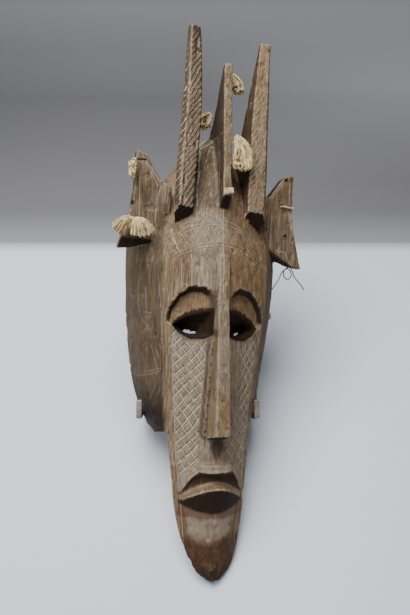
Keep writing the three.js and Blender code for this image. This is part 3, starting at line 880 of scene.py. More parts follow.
class Tones:
    """Colour masks of the carved wood, 0 to 1 at each corner."""

    def __init__(self, zones: Zones) -> None:
        """Finds the hollow and the pale band of the lower lip.

        Args:
            zones: The zones of the carved surface.
        """
        self.zones = zones
        self.hollow = zones.hollow()
        band, _ = zones.lower_lip()
        self.lip_band = ramp(np.abs(zones.up - band - 1.6), 3.0, 1.6) * (zones.away < 31) * (zones.front > 42)

    def warmth(self) -> np.ndarray:
        """Where the wood is a warm brown.

        Returns:
            The mask.
        """
        z = self.zones
        x, up = z.x, z.up
        right = ramp(x, -1.0, 0.6) * ramp(up, 130, 142) * ramp(x, 62, 48)
        right = right * (1 - z.side_horn) * (1 - 0.6 * ramp(up, 240, 262))
        left = ramp(x, -29, -36) * ramp(x, -54, -44)
        left = left * ramp(up, 138, 150) * ramp(up, 226, 200)
        lids = (z.lid < 0.9) * (up > 100) * (z.depth < 12) * (z.depth > 1.2)
        nose = (z.away < z.nose_half + 1) * (up > 2) * (up < 140) * (z.depth < -1)
        nose_low = nose * ramp(up, 62, 36)
        border = ramp(z.away, z.edge - 8, z.edge - 5) * (up < 125) * z.facing
        blotch = 0.45 + 1.1 * z.noise(0.035, 0.022, 41)
        chin = ramp(up, -80, -104)
        warm = 0.2 + 0.55 * right * blotch + 0.4 * left + 0.6 * lids + 0.1 * nose
        warm = warm + 0.55 * nose_low * z.facing + 0.5 * self.lip_band + 0.15 * border + 0.4 * chin
        side_horns = z.side_horn * (0.3 + 0.2 * (x > 0)) + 0.5 * (up > 245) * (x > 26) * (z.depth < -2)
        return warm + side_horns - 0.5 * np.maximum(z.panel(), z.blade_face())

    def _holes(self) -> np.ndarray:
        """Painted shade in the small drilled holes, the slit of the left ear and the nail hole in the wall.

        Returns:
            The mask.
        """
        z = self.zones
        x, up, front = z.x, z.up, z.front
        holes = 0.85 * ramp(np.abs(up - 281.1 - (x + 91) * 0.158), 1.6, 0.6) * (x < -80.5)
        for across, height, radius in EAR_HOLES:
            away = np.hypot(x - across, up - height)
            holes = np.maximum(holes, ramp(away, radius + 0.8, radius - 0.6))
        nail = ramp(np.hypot(up - 135.6, front + 32.5), 2.6, 1.2) * (x < -70)
        return np.maximum(holes * z.ear * (front > 0), nail)

    def _face_shade(self) -> dict:
        """Painted shade in the eyes, on the brows, under and beside the nose, under the lips and on the right
        cheek, and a chin that darkens towards its tip, partly darker wood and partly painted shade.

        Returns:
            Part to mask.
        """
        z = self.zones
        x, up, front = z.x, z.up, z.front
        # Painted shade inside the eye openings and on their lower rims
        deep = ramp(z.depth, 9.5, 12.5) * (z.eye < 1.12)
        tunnel = ramp(z.eye, 1.07, 1.0) * ramp(z.depth, 1.0, 2.6)
        eye = np.maximum(deep, tunnel) * (front > -5) * (up > EYE_FOOT) * (up < EYE_TOP)
        rim = ramp(z.eye, 1.16, 1.04) * ramp(up, 114, 108) * (up > EYE_FOOT) * (z.away < 52)
        upper = z.upper_lip()
        band, lip_foot = z.lower_lip()
        mouth = (z.away < 33) * (front > 40)
        # Painted shade on the downward faces under the upper and lower lip
        under_lip = ramp(up, upper + 0.8, upper - 0.6) * ramp(up, band + 3.2, band + 4.6) * mouth
        low_lip = ramp(up, band - 0.2, band - 1.8) * ramp(up, lip_foot - 1.5, lip_foot + 1.5) * mouth
        # Painted shade under the nose and in the philtrum
        nose_step = ramp(-z.normal[:, 1], 0.45, 0.75) * (front > 58) * (up > -12) * (up < 12)
        philtrum = ramp(np.hypot((x - 1) / 8.0, (up + 6) / 15.0), 1.1, 0.5) * z.facing
        # Painted shade on the nose's left side and the cheek beside it
        beyond_nose = -x - z.nose_half
        nose_side = ramp(beyond_nose, -1.2, 0.2) * ramp(beyond_nose, 5.6, 4.6)
        nose_side = nose_side * (up > 3) * (up < 150) * (front > 30)
        # Painted shade on the right cheek
        right_cheek = ramp(x, 10, 14) * (up < 100) * (up > -45) * z.facing
        # The chin darkens towards its tip, partly darker wood and partly painted shade
        chin = 0.34 * ramp(up, -90, -104) + 0.25 * ramp(up, -112, -128)
        return {
            "eye": eye,
            "eye_rim": rim,
            "brow": z.brow(),
            "nose_step": nose_step,
            "nose_side": nose_side,
            "philtrum": philtrum,
            "under_lip": under_lip,
            "low_lip": low_lip,
            "right_cheek": right_cheek,
            "chin": chin,
        }

    def darkness(self) -> np.ndarray:
        """Where the wood is stained or sooty, and painted shade where it is out of the light.

        Returns:
            The mask.
        """
        z = self.zones
        x, up, front, side = z.x, z.up, z.front, z.normal[:, 0]
        # Horn feet: partly dark patina, partly painted shade on their downward faces
        foot = z.under * (z.depth < 1.5) * (up > 214)
        foot = foot * np.where(z.away > 12, (z.away > 25) * (z.away < 60) * (up < 262), up < 262)
        # Painted shade on the lower parts of both ears
        ear_left = ramp(up, 203, 197) * (x < -70) * (front > 0) * z.ear * (side > -0.45)
        ear_right = ramp(up - (206 - (z.away - 60) * 0.55), 3, -3) * (x > 0) * z.ear
        # Painted shade on the right-hand facet of the viewer's left horn
        right_facet = z.side_horn * (x < 0) * ramp(side, -0.05, 0.18)
        # Painted shade on the flat sides of the horn blades
        blade = (up > BLADE_FOOT) * (front > -30) * (np.abs(side) > 0.75) * (z.depth < -1)
        level = 32.5 - (up - 238.8) * 0.309
        blade_face = z.blade_face() * (up < BLADE_TOP)
        blade = blade * (1 - blade_face * (front < level))
        # Painted shade on both sides of the shell, darker towards the bottom on the viewer's left
        beside = (up < 240) * (up > -12) * (z.ear < 0.5)
        wall = ramp(-x - z.edge, 0.2, 3.5) * beside
        masks = {
            "horn_foot": ramp(foot, 0.15, 0.5),
            "horn_facet": right_facet,
            "blade": blade,
            "panel": np.maximum(z.panel(), blade_face),
            "ear": z.ear,
            "ear_bevel": np.maximum(ear_left, ear_right),
            # Painted shade in the holes
            "holes": self._holes(),
            "wall": 0.38 * wall + 0.36 * wall * ramp(up, 62, 12),
            "right_wall": ramp(x - z.edge, 0.2, 3.5) * beside,
            # Painted shade inside the shell
            "hollow": self.hollow,
            **self._face_shade(),
        }
        darkest = np.maximum.reduce([SHADES[part] * mask for part, mask in masks.items()])
        return darkest * (1 - 0.95 * self.lip_band)

    def paleness(self) -> np.ndarray:
        """Where dust and wear leave the wood pale and grey, with a painted highlight on the mouth's upper
        ledge.

        Returns:
            The mask.
        """
        z = self.zones
        x, up, front = z.x, z.up, z.front
        sway = 6 * (z.noise(0.08, 0.03, 45) - 0.5)
        grey_brow = ramp(x + sway, -36, -29) * ramp(x, 0.2, -1.5)
        grey_brow = grey_brow * ramp(up, 138, 150) * ramp(up, 236, 226)
        cheeks = ramp(z.edge - z.away, 5, 8) * (up < 104) * (up > -60)
        on_nose = (z.away < z.nose_half + 1) * (up > 2)
        cheeks = cheeks * np.where(x > 0, 0.45, 1.0) * np.where(on_nose, 0.2, 1.0)
        # Painted highlight on the mouth's upper ledge, which faces up into the light
        ledge_highlight = ramp(np.abs(up + 26 + 0.012 * x * x), 4.2, 2.4) * (np.abs(x - 1) < 16) * (front > 56)
        ridge = ramp(np.abs(x + 1), 4, 1.5) * (up > 136) * (up < 226)
        nose = (z.away < z.nose_half) * (up > 50) * (up < 140) * z.facing * (z.depth < -2)
        tips = ramp(up, 418, 426) * (np.abs(x) > 20)
        cloud = 0.55 + 0.9 * z.noise(0.05, 0.03, 47)
        ragged = 0.22 * (z.noise(0.16, 0.16, 43) - 0.5)
        chin = ramp(z.chin_patch + 0.7 * ragged, 1.02, 0.98) * (front > 40)
        pale = 0.6 * grey_brow * cloud + 0.72 * cheeks + 0.7 * chin
        return (pale + 0.8 * ledge_highlight + 0.4 * ridge + 0.35 * nose + 0.5 * tips) * z.facing

    def skin(self) -> tuple:
        """How open the grain is, and where the wood is reddish and rubbed smooth.

        Returns:
            Two masks, filled up to four channels.
        """
        z = self.zones
        x, up = z.x, z.up
        mouth = (z.away < 34) * (z.front > 40) * (up > -76) * (up < -26)
        chin = ramp(up, -60, -76)
        nose = (z.away < z.nose_half + 1) * (up > 0) * (up < 140) * (z.depth < -1)
        grain = np.full(len(x), 0.75)
        for area, openness in (
            (z.ear > 0.5, 0.55),
            ((x < -54) & (up < 232) & (z.ear < 0.5), 0.42),
            ((x > 54) & (up < 232) & (z.ear < 0.5), 0.5),
            (z.cheek() > 0.1, 0.55),
            (z.side_horn > 0.5, 0.6),
            ((up > 138) & (up < 250) & (x > 0) & (x < 54), 0.4),
            (z.panel() > 0.5, 0.35),
            (nose, 0.4),
            ((z.lid < 0.98) & (up > 100) & (z.depth < 12), 0.35),
            (mouth, 0.15),
        ):
            grain = np.where(area, openness, grain)
        under = ramp(z.upper_lip() + 0.8 - up, 0, 1.4)
        red = 0.75 * mouth * under * (1 - 0.8 * self.lip_band) + 0.85 * ramp(up, -88, -102)
        red = red + 0.35 * chin * ramp(z.chin_patch, 0.98, 1.06) + 0.9 * z.brow()
        return grain * (1 - 0.85 * chin), red, np.zeros(len(x)), np.ones(len(x))

    def proud(self) -> np.ndarray:
        """How strongly each corner stands out of the surface around it.

        Returns:
            The mask.
        """
        corners = self.zones.corners
        out = (corners.places - corners.average(corners.average(corners.places))) * corners.normals
        return ramp(out.sum(1) / MM, 0.08, 0.5)

    def layers(self) -> dict:
        """Every mask that the wood material reads.

        Returns:
            Attribute name to four channels.
        """
        z = self.zones
        outside = 1 - self.hollow
        single = np.maximum(z.ear * (z.front > 4), np.abs(z.depth) < 7) * outside
        cuts = (
            z.cheek() * outside,
            z.horn_cut(),
            np.maximum(z.band(), outside * z.wall()),
            np.maximum(single, z.blade_face()),
        )
        edges = np.maximum(self.proud(), z.pale_edge())
        return {
            "cuts": cuts,
            "tone": (self.warmth(), self.darkness(), self.paleness(), edges),
            "skin": self.skin(),
        }


@dataclass(frozen=True)
class Carver:
    """Turns the mask's faceted solid into a carved wooden surface.

    Depths are in millimetres into the wood, voxels in metres.
    """

    source: Object
    quick: bool
    voxel: float = 0.0012
    quick_voxel: float = 0.0019
    budget: int = 190000
    normal_rounds: int = 4
    relax_rounds: int = 36
    line_blur: float = 0.9
    adze_depth: float = 0.8
    facet_depth: float = 0.5
    grain_depth: float = 0.16
    gouge_depth: float = 2.2
    cheek_depth: float = 0.45
    horn_depth: float = 0.5
    band_depth: float = 0.25
    brow_depth: float = 1.2
    wall_depth: float = 0.4
    ear_depth: float = 0.5
    nose_flare: float = 4.0
    throat_fill: float = 2.4
    crest_drop: float = 3.0
    panel_rise: float = 1.0
    panel_top_rise: float = 2.0
    chin_wear: float = 1.6
    chip_depth: float = 0.9

    def remeshed(self) -> Mesh:
        """An even, closed mesh over the solid.

        Returns:
            The new mesh.
        """
        holder = show("carving_block", self.source.data.copy())
        remesh = holder.modifiers.new("even", "REMESH")
        remesh.mode = "VOXEL"
        remesh.voxel_size = self.quick_voxel if self.quick else self.voxel
        return plain_mesh(holder)

    def relax(self, mesh: Mesh) -> None:
        """Rounds the facets away and leaves the cut edges.

        Args:
            mesh: The even mesh, changed in place.
        """
        corners = Corners(mesh)
        places, spread = corners.places, corners.normals
        for _ in range(self.normal_rounds):
            spread = 0.5 * spread + 0.5 * corners.average(spread)
        bend = 1 - np.linalg.norm(spread, axis=1)
        for _ in range(2):
            bend = corners.average(bend[:, None])[:, 0]
        free = 1 - ramp(bend, 0.006, 0.022)
        for _ in range(self.relax_rounds):
            places = places + (corners.average(places) - places) * (0.5 * free)[:, None]
        places = places + (corners.average(places) - places) * 0.35
        mesh.vertices.foreach_set("co", places.ravel())
        mesh.update()

    def depth(self, zones: Zones) -> np.ndarray:
        """Depth of every cut.

        Args:
            zones: The zones of the relaxed surface.

        Returns:
            Millimetres into the wood at each corner.
        """
        x, up, front, noise = zones.x, zones.up, zones.front, zones.noise
        cut = ArrayPatterns(x, up, front, blur=self.line_blur)
        inner = ramp(zones.depth, 14, 18) * (zones.away < zones.edge + 22) * (up > 0)
        plain = 1 - inner
        adze, facets = noise(0.09, 0.035, 3) - 0.5, noise(0.17, 0.07, 8) - 0.5
        grain, gouge = noise(0.9, 0.06, 11) - 0.5, noise(0.11, 0.05, 21) - 0.5
        outside = self.adze_depth * adze + self.facet_depth * facets + self.grain_depth * grain
        depth = plain * outside + inner * self.gouge_depth * gouge
        depth += self.cheek_depth * zones.cheek() * cut.cheek_hatch()
        slope = ramp(-x - zones.nose_half, 5.0, 0.0) * (x < -zones.nose_half + 0.5) * zones.facing
        depth -= self.nose_flare * slope * ramp(up, 2, 4) * ramp(up, 104, 96)
        depth += self.horn_depth * zones.horn_cut() * cut.horn_lines()
        depth += self.band_depth * zones.band() * cut.brow_band()
        nicks = noise(0.6, 0.6, 61)
        depth += self.brow_depth * zones.brow() * (0.6 + 0.8 * (nicks - 0.5)) * zones.facing
        throat = (zones.eye < 1.25) * (up > 88) * (up < 142) * (front > 0) * (1 - zones.facing)
        depth -= self.throat_fill * throat * ramp(zones.depth, 9, 14)
        for strength, places in (
            (self.wall_depth * (zones.wall() * plain), WALL_STROKES),
            (self.ear_depth * zones.ear * (x < 0) * (front > 4), EAR_STROKES),
        ):
            for place in places:
                depth += strength * cut.stroke(place)
        beyond = ramp(up, zones.crest - 0.5, zones.crest + 1.5) * (x > -33) * (x < -4)
        beyond = beyond * (np.abs(zones.depth) < 9)
        panel = (self.panel_rise + self.panel_top_rise * ramp(up, 246, 300)) * zones.panel()
        depth += self.crest_drop * beyond - panel
        depth += self.chin_wear * ramp(up, -92, -112) * (noise(0.14, 0.14, 31) - 0.5)
        depth += self.chip_depth * ramp(noise(0.21, 0.12, 71), 0.72, 0.86) * plain
        return depth

    def thinned(self, mesh: Mesh) -> Mesh:
        """The same surface with fewer triangles where it is smooth.

        Args:
            mesh: The carved mesh.

        Returns:
            It, or a lighter one.
        """
        if self.quick or triangle_count(mesh) <= self.budget:
            return mesh
        holder = show("carving_thin", mesh)
        fewer = holder.modifiers.new("fewer", "DECIMATE")
        fewer.ratio = self.budget / triangle_count(mesh)
        return plain_mesh(holder)

    def build(self) -> Object:
        """Makes and dresses the carved mask.

        Returns:
            The new piece.
        """
        mesh = self.remeshed()
        self.relax(mesh)
        zones = Zones(mesh)
        cut = self.depth(zones) * MM
        low, high = (np.array(corner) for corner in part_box("mask"))
        places = np.clip(zones.corners.places - zones.corners.normals * cut[:, None], low, high)
        mesh.vertices.foreach_set("co", places.ravel())
        mesh.update()
        mesh = self.thinned(mesh)
        for face in mesh.polygons:
            face.use_smooth = True
        mesh.materials.clear()
        mesh.materials.append(WoodFinish().material())
        for name, channels in Tones(Zones(mesh)).layers().items():
            values = np.clip(np.stack(channels, axis=1), 0, 1).astype(np.float32)
            mesh.color_attributes.new(name, "FLOAT_COLOR", "POINT").data.foreach_set("color", values.ravel())
        return show("mask_carved", mesh)


# Scale across, backwards and along the grain per millimetre, detail, roughness
WOOD_NOISES = {
    "streak": ((0.5, 0.5, 0.03), 4.0, 0.62),
    "fine": ((0.85, 0.85, 0.045), 3.0, 0.65),
    "blotch": ((0.06, 0.06, 0.035), 4.0, 0.6),
    "patch": ((0.15, 0.15, 0.1), 5.0, 0.65),
    "speck": ((0.8, 0.8, 0.6), 2.0, 0.5),
    "worn": ((0.9, 0.9, 0.06), 2.0, 0.5),
    "smear": ((0.11, 0.11, 0.05), 3.0, 0.6),
    "broken": ((0.22, 0.22, 0.22), 3.0, 0.55),
}


@dataclass(frozen=True)
class WoodFinish:
    """Colours and bump of the old dry wood, with painted shade from the tone masks and beside the carved
    lines.
    """

    tan: tuple = linear(156, 136, 112)
    brown: tuple = linear(102, 84, 65)
    warm: tuple = linear(154, 122, 84)
    warm_dark: tuple = linear(92, 69, 46)
    grey: tuple = linear(160, 147, 131)
    # Dark stain, also used for painted shade
    stain_and_shade: tuple = linear(34, 19, 11)
    red: tuple = linear(118, 84, 60)
    red_dark: tuple = linear(70, 44, 30)
    cut_light: tuple = linear(214, 200, 176)
    # Dark grain and specks, also used for painted shade beside the carved lines
    grain_dark_and_shade: tuple = linear(58, 44, 32)
    roughness: float = 0.72
    shine: float = 0.18

    @staticmethod
    def light_lines(m: NodePatterns, cuts: list[Sig]) -> Sig:
        """Every freshly cut, pale line.

        Args:
            m: The patterns at the shaded place.
            cuts: Where the cheeks, the horns, the band and single cuts have them.

        Returns:
            1 on a line.
        """
        hatch, horn, band, single = cuts
        wall = m.strokes(WALL_STROKES) * m.step(m.x, -49.0, -52.0) * band
        crown = m.strokes(CROWN_STROKES, 0.5) * m.step(m.up, 228.0, 232.0)
        blade = m.strokes(BLADE_STROKES, 0.6, m.front) * m.step(abs(m.x + 5.5), 3.0, 2.0)
        crown = m.highest(crown, blade)
        ear = m.strokes(EAR_STROKES) * m.step(abs(m.x), 59.0, 61.0)
        brow = m.strokes(FOREHEAD_STROKES) * m.step(m.x, -56.0, -53.0)
        single_lines = m.highest(m.highest(crown, ear * 0.65), brow * 0.55) * single
        lines = m.highest(m.cheek_hatch() * hatch, m.horn_lines() * horn)
        arcs = m.brow_band() * m.step(m.x, -52.0, -50.0) * band * 0.42
        border = m.border_lines() * m.step(m.up, 105.0, 95.0) * m.step(m.front, 22.0, 28.0) * 0.4
        lines = m.highest(lines, m.highest(arcs, wall * 0.5))
        return m.highest(lines, m.highest(single_lines, border))

    def material(self) -> Material:
        """Builds the wood material.

        Returns:
            The material.
        """
        s = ShaderTree("old_carved_wood")
        frame_turn = {
            "Vector": s.object_vector(),
            "Location": tuple(v * MM for v in POSE.origin),
            "Rotation": tuple(POSE.rotation().to_euler("XYZ")),
            "Scale": (MM, MM, MM),
        }
        place = s.node("ShaderNodeMapping", frame_turn, vector_type="TEXTURE").outputs[0]
        x, back, up = s.axes(place)
        m = NodePatterns(x, up, -back)
        cuts = s.attribute("cuts")
        warm, dark, pale, proud = s.attribute("tone")
        grain, red, _, _ = s.attribute("skin")
        noises = (s.noise(place, *recipe) for recipe in WOOD_NOISES.values())
        streak, fine, blotch, patch, speck, worn, smear, broken = noises
        smear, broken = m.step(smear, 0.5, 0.7), m.step(broken, 0.32, 0.52)

        base = s.mix(m.step(streak * 0.6 + blotch * 0.4, 0.38, 0.6), self.brown, self.tan)
        warm_wood = s.mix(m.step(patch * 0.6 + streak * 0.4, 0.38, 0.58), self.warm_dark, self.warm)
        ruddy = s.mix(m.step(patch, 0.36, 0.6), self.red_dark, self.red)
        # Painted shade: the carved lines again, shifted to one side of each groove
        shade = m.highest(m.cheek_hatch(0.75) * cuts[0], m.horn_lines(0.85) * cuts[1])
        shade = m.highest(shade, m.brow_band(1.1) * m.step(x, -52.0, -50.0) * cuts[2] * 0.6)
        fine_shade = m.cheek_fine(0.6) * cuts[0]
        age = (1.0 - cuts[1] * 0.4) * 0.23
        for share, colour in (
            (m.lowest(warm * (patch * 0.8 + 0.55), 0.92), warm_wood),
            (m.lowest(pale * (patch * 0.9 + 0.45), 0.9), self.grey),
            (m.lowest(red * (patch * 0.6 + 0.65), 0.92), ruddy),
            (m.step(fine, 0.5, 0.66) * grain * 0.8, self.grain_dark_and_shade),
            (m.step(fine, 0.46, 0.32) * grain * 0.5, self.cut_light),
            (m.step(speck, 0.56, 0.72) * (grain * 0.45 + 0.18), self.grain_dark_and_shade),
            (m.step(speck, 0.42, 0.3) * cuts[1] * 0.6, self.cut_light),
            (m.step(worn, 0.62, 0.7) * grain * 0.55, self.cut_light),
            (smear * 0.4, self.brown),
            (proud * m.step(patch, 0.3, 0.55) * 0.6, self.cut_light),
            # Painted shade beside the carved lines
            (m.highest(shade * 0.75, fine_shade * 0.55 * broken), self.grain_dark_and_shade),
            (m.cheek_fine() * cuts[0] * 0.4 * broken, self.cut_light),
            (self.light_lines(m, cuts) * (broken * 0.7 + 0.2), self.cut_light),
            # Stain and painted shade from the tone masks
            (m.lowest(dark * (patch * 0.35 + 0.83) + age, 0.98), self.stain_and_shade),
        ):
            base = s.mix(share, base, colour)

        height = (streak * 0.6 + fine * 0.7) * grain * 1.6 + speck * 0.25 - shade * 0.6
        return s.finish(
            {
                "Base Color": base,
                "Roughness": m.lowest(patch * 0.25 + (self.roughness - 0.1), 0.95),
                "Normal": s.bump(height, 0.55, 0.0014),
                "Specular IOR Level": self.shine,
            }
        )


# Yarn


class TubeNodes(Nodes):
    """A Geometry Nodes group that lays a round tube along every curve it is given."""

    def __init__(self) -> None:
        """Makes the group with its named inputs."""
        super().__init__(bpy.data.node_groups.new("tube_along_curves", "GeometryNodeTree"))
        face = self.tree.interface
        face.new_socket("Geometry", in_out="INPUT", socket_type="NodeSocketGeometry")
        for name, value in (("Radius", 0.001), ("Sides", 8), ("Wander", 0.0), ("Wander Scale", 100.0)):
            kind = "NodeSocketInt" if isinstance(value, int) else "NodeSocketFloat"
            face.new_socket(name, in_out="INPUT", socket_type=kind).default_value = value
        face.new_socket("Material", in_out="INPUT", socket_type="NodeSocketMaterial")
        face.new_socket("Geometry", in_out="OUTPUT", socket_type="NodeSocketGeometry")
        self._wire()

    def _step(self, kind: str, inputs: dict, **properties: object) -> NodeSocket:
        """Adds a node and returns its first output."""
        return self.node(kind, inputs, **properties).outputs[0]

    def _wire(self) -> None:
        """Adds the nodes and links them."""
        given = self.node("NodeGroupInput").outputs
        noise = self.node("ShaderNodeTexNoise", {"Scale": given["Wander Scale"]}, noise_dimensions="3D")
        centred = {0: noise.outputs["Color"], 1: (0.5, 0.5, 0.5)}
        centred = self._step("ShaderNodeVectorMath", centred, operation="SUBTRACT")
        scaled = {0: centred, "Scale": given["Wander"]}
        scaled = self._step("ShaderNodeVectorMath", scaled, operation="SCALE")
        moved = self._step("GeometryNodeSetPosition", {"Geometry": given["Geometry"], "Offset": scaled})
        circle = {"Radius": given["Radius"], "Resolution": given["Sides"]}
        circle = self._step("GeometryNodeCurvePrimitiveCircle", circle)
        thick = self._step("GeometryNodeInputRadius", {})
        tube = {"Curve": moved, "Profile Curve": circle, "Scale": thick, "Fill Caps": True}
        tube = self._step("GeometryNodeCurveToMesh", tube)
        smooth = self._step("GeometryNodeSetShadeSmooth", {"Geometry": tube})
        real = self._step("GeometryNodeRealizeInstances", {"Geometry": smooth})
        paint = {"Geometry": real, "Material": given["Material"]}
        self.node("NodeGroupOutput", {0: self._step("GeometryNodeSetMaterial", paint)})

    def mesh(self, name: str, paths: list, values: dict) -> Object:
        """Runs the group over paths.

        Args:
            name: The piece's name.
            paths: Pairs of an array of places in row-frame metres and a thickness factor.
            values: Input name to value.

        Returns:
            The new piece, a plain mesh.
        """
        curve = bpy.data.curves.new(name + "_paths", "CURVE")
        curve.dimensions = "3D"
        for path, factor in paths:
            spline = curve.splines.new("POLY")
            spline.points.add(len(path) - 1)
            spline.points.foreach_set("co", np.hstack([path, np.ones((len(path), 1))]).ravel())
            spline.points.foreach_set("radius", np.full(len(path), factor))
        holder = show(name + "_paths", curve)
        modifier = holder.modifiers.new("tube", "NODES")
        modifier.node_group = self.tree
        for item in self.tree.interface.items_tree:
            if item.in_out == "INPUT" and item.name in values:
                modifier[item.identifier] = values[item.name]
        return show(name, plain_mesh(holder))


@dataclass(frozen=True)
class YarnFinish:
    """Cream cotton yarn."""

    light: tuple = linear(232, 212, 164)
    shade: tuple = linear(178, 148, 98)
    dirt: tuple = linear(112, 86, 50)
    twist: float = 650.0
    cloud: float = 160.0

    def material(self) -> Material:
        """Builds the yarn material.

        Returns:
            The material.
        """
        s = ShaderTree("cream_yarn")
        place = s.object_vector()
        twist = s.noise(place, (self.twist,) * 3, 3.0, 0.65)
        tone = s.noise(place, (self.cloud,) * 3, 3.0, 0.6)
        base = s.mix(NodeMath.step(tone, 0.38, 0.58), self.shade, self.light)
        base = s.mix(NodeMath.step(twist, 0.52, 0.68) * 0.6, base, self.dirt)
        return s.finish(
            {
                "Base Color": base,
                "Roughness": 0.92,
                "Normal": s.bump(twist, 0.8, 0.001),
                "Sheen Weight": 0.25,
                "Sheen Roughness": 0.5,
                "Specular IOR Level": 0.15,
            }
        )


class Hang(Enum):
    """How a bunch of yarn falls."""

    FAN = "fan"
    DROP = "drop"
    LOOPS = "loops"


@dataclass(frozen=True)
class Tassel:
    """One knotted bunch of yarn inside the space its solid holds; sizes are in millimetres.

    Strands are drawn in a unit box, -1 to 1 across, up and front, and then fitted to the bunch.
    """

    node: str
    centre: tuple
    half: tuple
    hang: Hang
    strands: int
    seed: int
    lean: float = 1.0
    radius: float = 1.05

    def _fan(self, rng: np.random.Generator, share: float, layer: float) -> np.ndarray:
        """A strand of two fans that spread from one knot.

        Args:
            rng: Source of the random draws.
            share: Its turn among the strands, 0 to 1.
            layer: How far to the front it lies, -1 to 1.

        Returns:
            Places in the unit box.
        """
        t = np.linspace(0, 1, 18)
        angle = -1.45 + 2.9 * share
        angle += 0.12 if angle > -0.25 else -0.14
        reach_out = rng.uniform(0.86, 1.0)
        across = -0.05 + np.sin(angle) * 1.02 * reach_out * t**0.8
        fall = 0.35 + 1.35 * math.cos(angle)
        up = 0.82 + 0.12 * np.sin(math.pi * t) * abs(math.sin(angle)) - fall * reach_out * t**1.5
        up = up - 0.45 * abs(math.sin(angle)) * t**2
        front = 0.5 * np.sin(math.pi * t**0.8) + layer * 0.45 * t
        return np.stack([across, up, front], axis=1)

    def _drop(self, rng: np.random.Generator, share: float, layer: float) -> np.ndarray:
        """A strand that falls from the knot, turns and comes half way back.

        Args:
            rng: Source of the random draws.
            share: Its turn among the strands, 0 to 1.
            layer: How far to the front it lies, -1 to 1.

        Returns:
            Places in the unit box.
        """
        t = np.linspace(0, 1, 22)
        knot = -0.92 * self.lean
        end = self.lean * (-1.0 + 1.95 * share)
        travel = np.clip(t / 0.45, 0, 1)
        travel = travel * travel * (3 - 2 * travel)
        sway = 0.15 * np.sin(9 * t + rng.uniform(0, 6)) + rng.choice((-1.2, 1.2)) * np.clip(t - 0.5, 0, 1)
        across = knot + (end - knot) * travel + sway
        bottom = 1.75 - 0.3 * abs(end - 0.1 * self.lean) - rng.uniform(0, 0.3)
        up = 0.8 - bottom * np.sin(math.pi * 0.7 * t) ** 1.5 + 0.2 * np.sin(math.pi * np.clip(t * 2, 0, 1))
        front = layer * 0.75 * np.sin(math.pi * (0.15 + 0.75 * t)) + 0.2 * np.sin(math.pi * t)
        front = front + 0.18 * np.sin(7 * t + rng.uniform(0, 6))
        return np.stack([across, up, front], axis=1)

    def _loop(self, rng: np.random.Generator, share: float, layer: float) -> np.ndarray:
        """A closed loop of a lumpy bunch.

        Args:
            rng: Source of the random draws.
            share: Its turn among the strands, 0 to 1.
            layer: How far to the front it lies, -1 to 1.

        Returns:
            Places in the unit box.
        """
        turn = np.linspace(0, 2 * math.pi, 20) + rng.uniform(0, 2 * math.pi)
        tall, wide = rng.uniform(0.15, 0.4), rng.uniform(0.3, 0.75)
        across = wide * np.sin(turn) + 0.15 * np.sin(3 * turn) + rng.uniform(-0.3, 0.3)
        up = 0.55 * (2 * share - 1) + tall * np.cos(turn)
        front = 0.6 * layer + 0.3 * np.sin(2 * turn)
        return np.stack([across, up, front], axis=1)

    def _side(self) -> float:
        """Which side the knot is on: -1 left, 1 right, 0 in the middle."""
        return self.lean if self.hang is Hang.DROP else 0.0

    def _core(self) -> list:
        """Fat strands that close the middle of the bunch.

        Returns:
            Places in the unit box, strand by strand.
        """
        t = np.linspace(0, 1, 10)
        if self.hang is Hang.FAN:
            lines = [
                (end * t**0.8, 0.72 - (0.95 - 0.45 * abs(end)) * t**1.3, -0.1 + 0 * t)
                for end in (-0.72, -0.3, 0.25, 0.7)
            ]
        else:
            middle = self._side() * (-0.4 + 0.5 * t)
            lines = [(middle + side, 0.55 - 1.1 * t, -0.3 + 0 * t) for side in (-0.12, 0.12)]
        return [np.stack(line, axis=1) for line in lines]

    def _fitted(self, unit: np.ndarray, factor: float) -> tuple:
        """A strand in the row frame with its thickness factor, kept inside the bunch."""
        room = np.array(self.half) - self.radius * factor
        return POSE.to_row(np.array(self.centre) + unit * room), factor

    def paths(self) -> list:
        """All strands.

        Returns:
            Paths in the row frame, each with its thickness factor.
        """
        rng = np.random.default_rng(self.seed)
        shape = {Hang.FAN: self._fan, Hang.DROP: self._drop, Hang.LOOPS: self._loop}[self.hang]
        fat = min(self.half[0], self.half[2]) * 0.36 / self.radius
        made = [self._fitted(unit, fat) for unit in self._core()]
        for index in range(self.strands):
            unit = shape(rng, (index + rng.uniform(-0.3, 0.3)) / max(1, self.strands - 1), rng.uniform(-1, 1))
            made.append(self._fitted(np.clip(unit, -1, 1), rng.uniform(0.85, 1.15)))
        return made

    def ties(self, wood: BVHTree) -> list:
        """Three short cords that hold the bunch to the nearest wood.

        Args:
            wood: Search tree of the carved mask, in the row frame.

        Returns:
            Paths in the row frame, each with its thickness factor.
        """
        knot = np.array((-0.6 * self._side(), 0.55, -0.1)) * np.array(self.half)
        start = POSE.to_row((np.array(self.centre) + knot)[None])[0]
        place, normal, _, _ = wood.find_nearest(Vector(start))
        end = np.array(place + normal * MM)
        t = np.linspace(0, 1, 9)
        made = []
        for turn in (0.0, 2.1, 4.2):
            angle = turn + 6 * t
            twist = np.stack([np.cos(angle), 0 * t, np.sin(angle)], axis=1) * (0.9 - 0.4 * t)[:, None] * MM
            made.append((start + (end - start) * t[:, None] + twist, 0.8))
        return made

    def build(self, tubes: TubeNodes, wood: BVHTree, yarn: Material) -> Object:
        """Makes the bunch.

        Args:
            tubes: The tube group.
            wood: Search tree of the carved mask.
            yarn: The yarn material.

        Returns:
            The new piece.
        """
        values = {
            "Radius": self.radius * MM,
            "Sides": 7,
            "Wander": 0.0008,
            "Wander Scale": 90.0,
            "Material": yarn,
        }
        return tubes.mesh(self.node + "_yarn", self.paths() + self.ties(wood), values)


